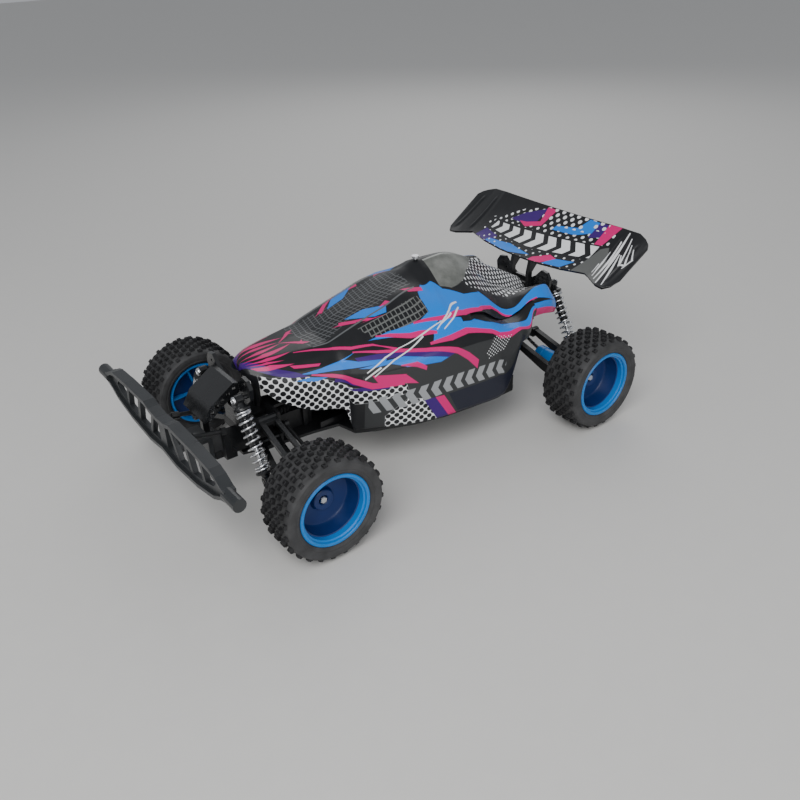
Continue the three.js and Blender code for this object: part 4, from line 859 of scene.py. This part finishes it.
def rim(name, x, side, body, driven):
    """Blue wheel: bright lip, stepped navy dish darkened partly with painted shade, hub boss, ribs inside
    and, at the rear, the long drive cup.
    """
    shape = Shape()
    middle = Vector((x, WHEEL_Y * side, TYRE_R))
    outward = (0, side, 0)
    bright = [
        (24.8, -9.5), (25.2, -14.9), (26.1, -15.9), (27.1, -15.9), (RIM_R, -15.3), (RIM_R, 14.7),
        (LIP_R - 0.5, 14.9), (LIP_R, 15.4), (LIP_R, 16.9), (LIP_R - 0.6, 17.4), (26.6, 17.4),
        (26.0, 16.9), (25.9, 15.2), (25.2, 14.7), (24.6, 14.5), (24.3, 10.5),
    ]
    # the dish, in navy: partly its own darker blue, partly painted shade of the deep recess
    dark = [
        (24.3, 10.5), (23.4, 10.1), (22.6, -0.6), (21.6, -2.0), (20.2, -2.5), (9.4, -2.5), (8.6, -1.6),
        (8.2, 0.6), (7.6, 1.1), (4.2, 1.1), (3.6, 0.6), (3.4, -1.6), (0, -1.6), (0, -4), (2.3, -4),
        (2.3, -10), (6.5, -10), (6.5, -7.5), (24, -7.5), (24.8, -9.5),
    ]
    shape.lathe(bright, middle, outward, 128, slot=0, close=False)
    shape.lathe(dark, middle, outward, 128, slot=2, close=False)
    for k in range(5):
        turn = 2 * math.pi * k / 5
        radial_out = Vector((math.cos(turn), 0, math.sin(turn)))
        across = Vector((-math.sin(turn), 0, math.cos(turn)))
        ring = []
        for reach, depth in ((5.5, -6.5), (25.2, -6.5), (25.2, -12.5), (5.5, -9.6)):
            ring.append(middle + radial_out * reach + Vector((0, depth * side, 0)))
        shape.prism([p - across * 0.9 for p in ring], [p + across * 0.9 for p in ring], 0)
    if driven:
        bore = [
            (4.2, DRUM_END_Y + 16), (4.2, DRUM_END_Y + 5), (6.0, DRUM_END_Y + 4.6), (6.2, DRUM_END_Y + 0.4),
            (6.6, DRUM_END_Y), (DRUM_R - 0.5, DRUM_END_Y), (DRUM_R, DRUM_END_Y + 0.6),
            (DRUM_R, DRUM_END_Y + 7), (DRUM_R - 0.5, DRUM_END_Y + 7.5), (DRUM_R - 0.5, 64), (DRUM_R, 64.5),
            (DRUM_R, 97), (0, 97), (0, 61),
        ]
        shape.lathe(bore, (x, 0, TYRE_R), (0, side, 0), 64, slot=0)
    shape.lathe([(0, -1.4), (3.1, -1.4), (3.1, 0.9), (2.5, 1.5), (0, 1.5)], middle, outward, 6, slot=1)
    looks = [MAT["rim_blue"], MAT["steel"], MAT["rim_navy"]]
    piece = shape.build(name, body, looks, sharp=34)
    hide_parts(name.replace("_wheel", ""))


# ------------------------------------------------------------------ shock absorbers
def shock(end, side_name, side):
    """Cylinder with its cap, rod with the lower seat, and a round-wire spring between them."""
    x, (ty, tz), (fy, fz) = SHOCKS[end]
    top = Vector((x, ty * side, tz))
    foot = Vector((x, fy * side, fz))
    along = (foot - top).normalized()
    length = (foot - top).length
    body = f"{side_name}_{end}_shock_body"
    rod_body = f"{side_name}_{end}_shock_rod"

    cylinder = Shape()
    cylinder.lathe([(1.9, -3), (3.4, -3), (3.8, -2.6), (3.8, 2.6), (3.4, 3), (1.9, 3)], top, (1, 0, 0), 32)
    cap = [(0, 2.4), (2.6, 2.4), (3.2, 3.0), (3.6, 4.4), (SEAT_R - 0.9, 6.4), (SEAT_R - 0.1, 6.9),
           (SEAT_R, 7.3), (SEAT_R, 8.0), (SEAT_R - 0.4, 8.3), (4.4, 8.4), (4.2, 9.4), (3.7, 9.8)]
    threads = [(3.7 + (0.22 if k % 2 else 0), 10.5 + 0.55 * k) for k in range(24)]
    lower = [(3.7, 24.5), (3.7, 35.6), (3.2, 36.6), (2.0, 37), (0, 37)]
    cylinder.lathe(cap + threads + lower, top, along, 40, close=False)
    piece = cylinder.build(f"{end}_shock_barrel_{side_name}", body, [MAT["black_gloss"]],
                           sharp=32)
    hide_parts(f"{end}_shock_cylinder_{side_name}")

    rod = Shape()
    rod.lathe([(0, 24), (1.5, 24.3), (1.5, length - 7.6), (0, length - 7.6)], top, along, 24, slot=1)
    seat = [(0, length - 7.9), (2.4, length - 7.9), (2.8, length - 7.6), (SEAT_R - 0.3, length - 7.5),
            (SEAT_R, length - 7.2), (SEAT_R, length - 6.0), (SEAT_R - 0.6, length - 5.5), (3.6, length - 5.2),
            (3.0, length - 2.6), (0, length - 2.6)]
    rod.lathe(seat, top, along, 40)
    rod.lathe([(2.3, -3), (3.6, -3), (4, -2.6), (4, 2.6), (3.6, 3), (2.3, 3)], foot, (1, 0, 0), 32)
    piece = rod.build(f"{end}_shock_shaft_{side_name}", rod_body, [MAT["black_gloss"], MAT["steel"]],
                      sharp=32)
    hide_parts(f"{end}_shock_rod_{side_name}")

    start = SEAT_TOP + SEAT_GAP + SPRING_WIRE_R
    stop = length - SEAT_FOOT - SEAT_GAP - SPRING_WIRE_R
    across = along.orthogonal().normalized()
    other = along.cross(across)
    points = []
    steps = SPRING_TURNS * 28
    for k in range(steps + 1):
        t = k / steps
        rise = float(np.interp(t, (0, CLOSED_PART, 1 - CLOSED_PART, 1), (0, CLOSED_RISE, 1 - CLOSED_RISE, 1)))
        turn = 2 * math.pi * SPRING_TURNS * t
        reach = across * math.cos(turn) * SPRING_R + other * math.sin(turn) * SPRING_R * side
        points.append(top + along * (start + (stop - start) * rise) + reach)
    coil = Shape()
    coil.tube(points, SPRING_WIRE_R, 8)
    spring = coil.build(f"{end}_coil_{side_name}", body, [MAT["spring_steel"]], sharp=60)
    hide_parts(f"{end}_spring_{side_name}")
    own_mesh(spring)


def screw_head(shape, at, axis):
    """Button head with a round recess, standing on the point at."""
    dome = [(0, 0), (1, 0), (1, 0.35), (0.86, 0.75), (0.55, 1), (0.4, 1), (0.3, 0.45), (0, 0.4)]
    shape.lathe([(r * HEAD_R, h * HEAD_HEIGHT) for r, h in dome], at, axis, 32)


# ------------------------------------------------------------------ materials
def make_materials():
    MAT["black_nylon"] = moulding("black_nylon", (0.007, 0.0075, 0.0085), 0.36)
    MAT["black_gloss"] = moulding("black_gloss", (0.005, 0.0055, 0.0065), 0.26, 0.12, coat=0.3)
    MAT["shell_inside"] = moulding("shell_inside", (0.020, 0.020, 0.022), 0.6)
    MAT["bumper_grey"] = moulding("bumper_grey", (0.018, 0.020, 0.022), 0.34, 0.3, 0.25)
    MAT["rim_blue"] = moulding("rim_blue", (0.001, 0.165, 0.520), 0.34, 0.06, 0.12, coat=0.1)
    # dish navy: partly the dish's own darker blue, partly painted shade of the deep recess
    MAT["rim_navy"] = moulding("rim_navy", (0.002, 0.020, 0.110), 0.42, 0.06, 0.2)
    MAT["tyre_carcass"] = rubber("tyre_carcass", (0.032, 0.032, 0.033), 0.62)
    MAT["tyre_knob"] = rubber("tyre_knob", (0.012, 0.012, 0.013), 0.58)
    MAT["steel"] = metal("steel", (0.70, 0.71, 0.73), 0.22)
    MAT["spring_steel"] = metal("spring_steel", (0.80, 0.81, 0.83), 0.20)
    MAT["brass"] = metal("brass", (0.62, 0.43, 0.18), 0.28)
    MAT["gear_nylon"] = moulding("gear_nylon", (0.68, 0.66, 0.58), 0.45, 0.1, 0.08)
    MAT["cell_wrap"] = moulding("cell_wrap", (0.02, 0.16, 0.07), 0.35, 0.05, 0.2, coat=0.3)
    MAT["board"] = moulding("board", (0.015, 0.11, 0.045), 0.4, 0.2, 0.3)


MAT = {}
make_materials()

# CAD pieces that keep their own mesh, by material. A * stands for left and right.
KEPT = {
    "black_nylon": ["chassis_tub", "rear_gearbox_*", "steering_servo", "battery_door", "front_hub_carrier_*",
                    "front_knuckle_*", "track_rod_*", "rear_arm_*", "front_bulkhead", "front_top_plate",
                    "wing_mount", "bumper_post_*", "steering_rack", "servo_gear"],
    "black_gloss": ["front_shock_tower", "rear_shock_tower", "front_lower_arm_*", "front_upper_arm_*",
                    "front_cover"],
    "bumper_grey": ["front_bumper", "power_switch"],
    "steel": ["body_screw", "battery_door_screw", "drive_motor", "drive_shaft_*"],
    "brass": ["motor_pinion"],
    "gear_nylon": ["drive_gear"],
    "cell_wrap": ["battery_pack"],
    "board": ["receiver_board"],
}
ROUNDING = 0.45
BUMPER_ROUNDING = 1.0
TOOTHED = {"motor_pinion", "drive_gear", "steering_rack", "servo_gear"}      # edges stay as cut


def paint_kept_pieces():
    for look, names in KEPT.items():
        for node in sorted({name.replace("*", side) for name in names for side, _ in SIDES}):
            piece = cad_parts[node]
            if not piece.material_slots:
                piece.data.materials.append(MAT[look])
            for slot in piece.material_slots:
                slot.material = MAT[look]
            if node == "front_bumper":
                soften(piece, BUMPER_ROUNDING, 3, 40)
            elif node not in TOOTHED:
                soften(piece, ROUNDING, 2, 40)


paint_kept_pieces()
body_shell(body_livery())
wing(wing_livery())
for side_name, side in SIDES:
    tyre(f"front_tyre_{side_name}_rubber", FRONT_X, side, f"{side_name}_front_wheel")
    tyre(f"rear_tyre_{side_name}_rubber", REAR_X, side, f"{side_name}_rear_wheel")
    rim(f"front_rim_{side_name}_wheel", FRONT_X, side, f"{side_name}_front_wheel", False)
    rim(f"rear_rim_{side_name}_wheel", REAR_X, side, f"{side_name}_rear_wheel", True)
    for end in SHOCKS:
        shock(end, side_name, side)

heads = Shape()
for _, side in SIDES:
    for end, (face_x, way) in TOWER_FACE.items():
        pin_y, pin_z = SHOCKS[end][1]
        screw_head(heads, (face_x, pin_y * side, pin_z), (way, 0, 0))
heads.build("tower_screws", "chassis", [MAT["steel"]], sharp=30)


# ------------------------------------------------------------------ stage, light and camera
def stage_floor():
    mesh = bpy.data.meshes.new("floor")
    mesh.from_pydata([(-5, -5, 0), (5, -5, 0), (5, 5, 0), (-5, 5, 0)], [], [(0, 1, 2, 3)])
    mesh.materials.append(moulding("floor_paint", (0.62, 0.61, 0.59), 0.7, 0.02, 0.02))
    floor = bpy.data.objects.new("floor", mesh)
    bpy.context.scene.collection.objects.link(floor)


def soft_light(name, spot, target, size, power):
    lamp = bpy.data.lights.new(name, "AREA")
    lamp.shape = "DISK"
    lamp.size = size
    lamp.energy = power
    obj = bpy.data.objects.new(name, lamp)
    obj.location = spot
    obj.rotation_euler = (Vector(target) - Vector(spot)).to_track_quat("-Z", "Y").to_euler()
    bpy.context.scene.collection.objects.link(obj)


FOCAL_LENGTH = 37.61
SENSOR_WIDTH = 36
CAMERA_PLACE = (0.3704, 0.5227, 0.4016)
CAMERA_AXES = (                  # right, up and back of the camera, in the row frame
    (-0.79651, 0.60396, -0.02814),
    (-0.32588, -0.38964, 0.86138),
    (0.50928, 0.69527, 0.50718),
)
LIGHTS = (                       # name, place, target, size in metres, watts
    ("key", (0.9, 0.7, 1.2), (0, 0, 0.08), 1.0, 17),
    ("fill", (0.2, 1.4, 0.5), (0, 0, 0.05), 1.0, 6),
    ("back", (-0.9, -0.9, 1.0), (0, 0, 0.1), 1.2, 5),
)
SKY = (0.92, 0.95, 1.0, 1)
SKY_STRENGTH = 0.42


def camera():
    """From the front left and above."""
    lens = bpy.data.cameras.new("camera")
    lens.lens = FOCAL_LENGTH
    lens.sensor_width = SENSOR_WIDTH
    lens.clip_start = 0.01
    view = bpy.data.objects.new("camera", lens)
    turn = Matrix(CAMERA_AXES).transposed().to_4x4()
    view.matrix_world = Matrix.Translation(CAMERA_PLACE) @ turn
    bpy.context.scene.collection.objects.link(view)
    bpy.context.scene.camera = view


stage_floor()
camera()
for light in LIGHTS:
    soft_light(*light)
world = bpy.data.worlds.new("studio")
world.use_nodes = True
world.node_tree.nodes["Background"].inputs[0].default_value = SKY
world.node_tree.nodes["Background"].inputs[1].default_value = SKY_STRENGTH
bpy.context.scene.world = world
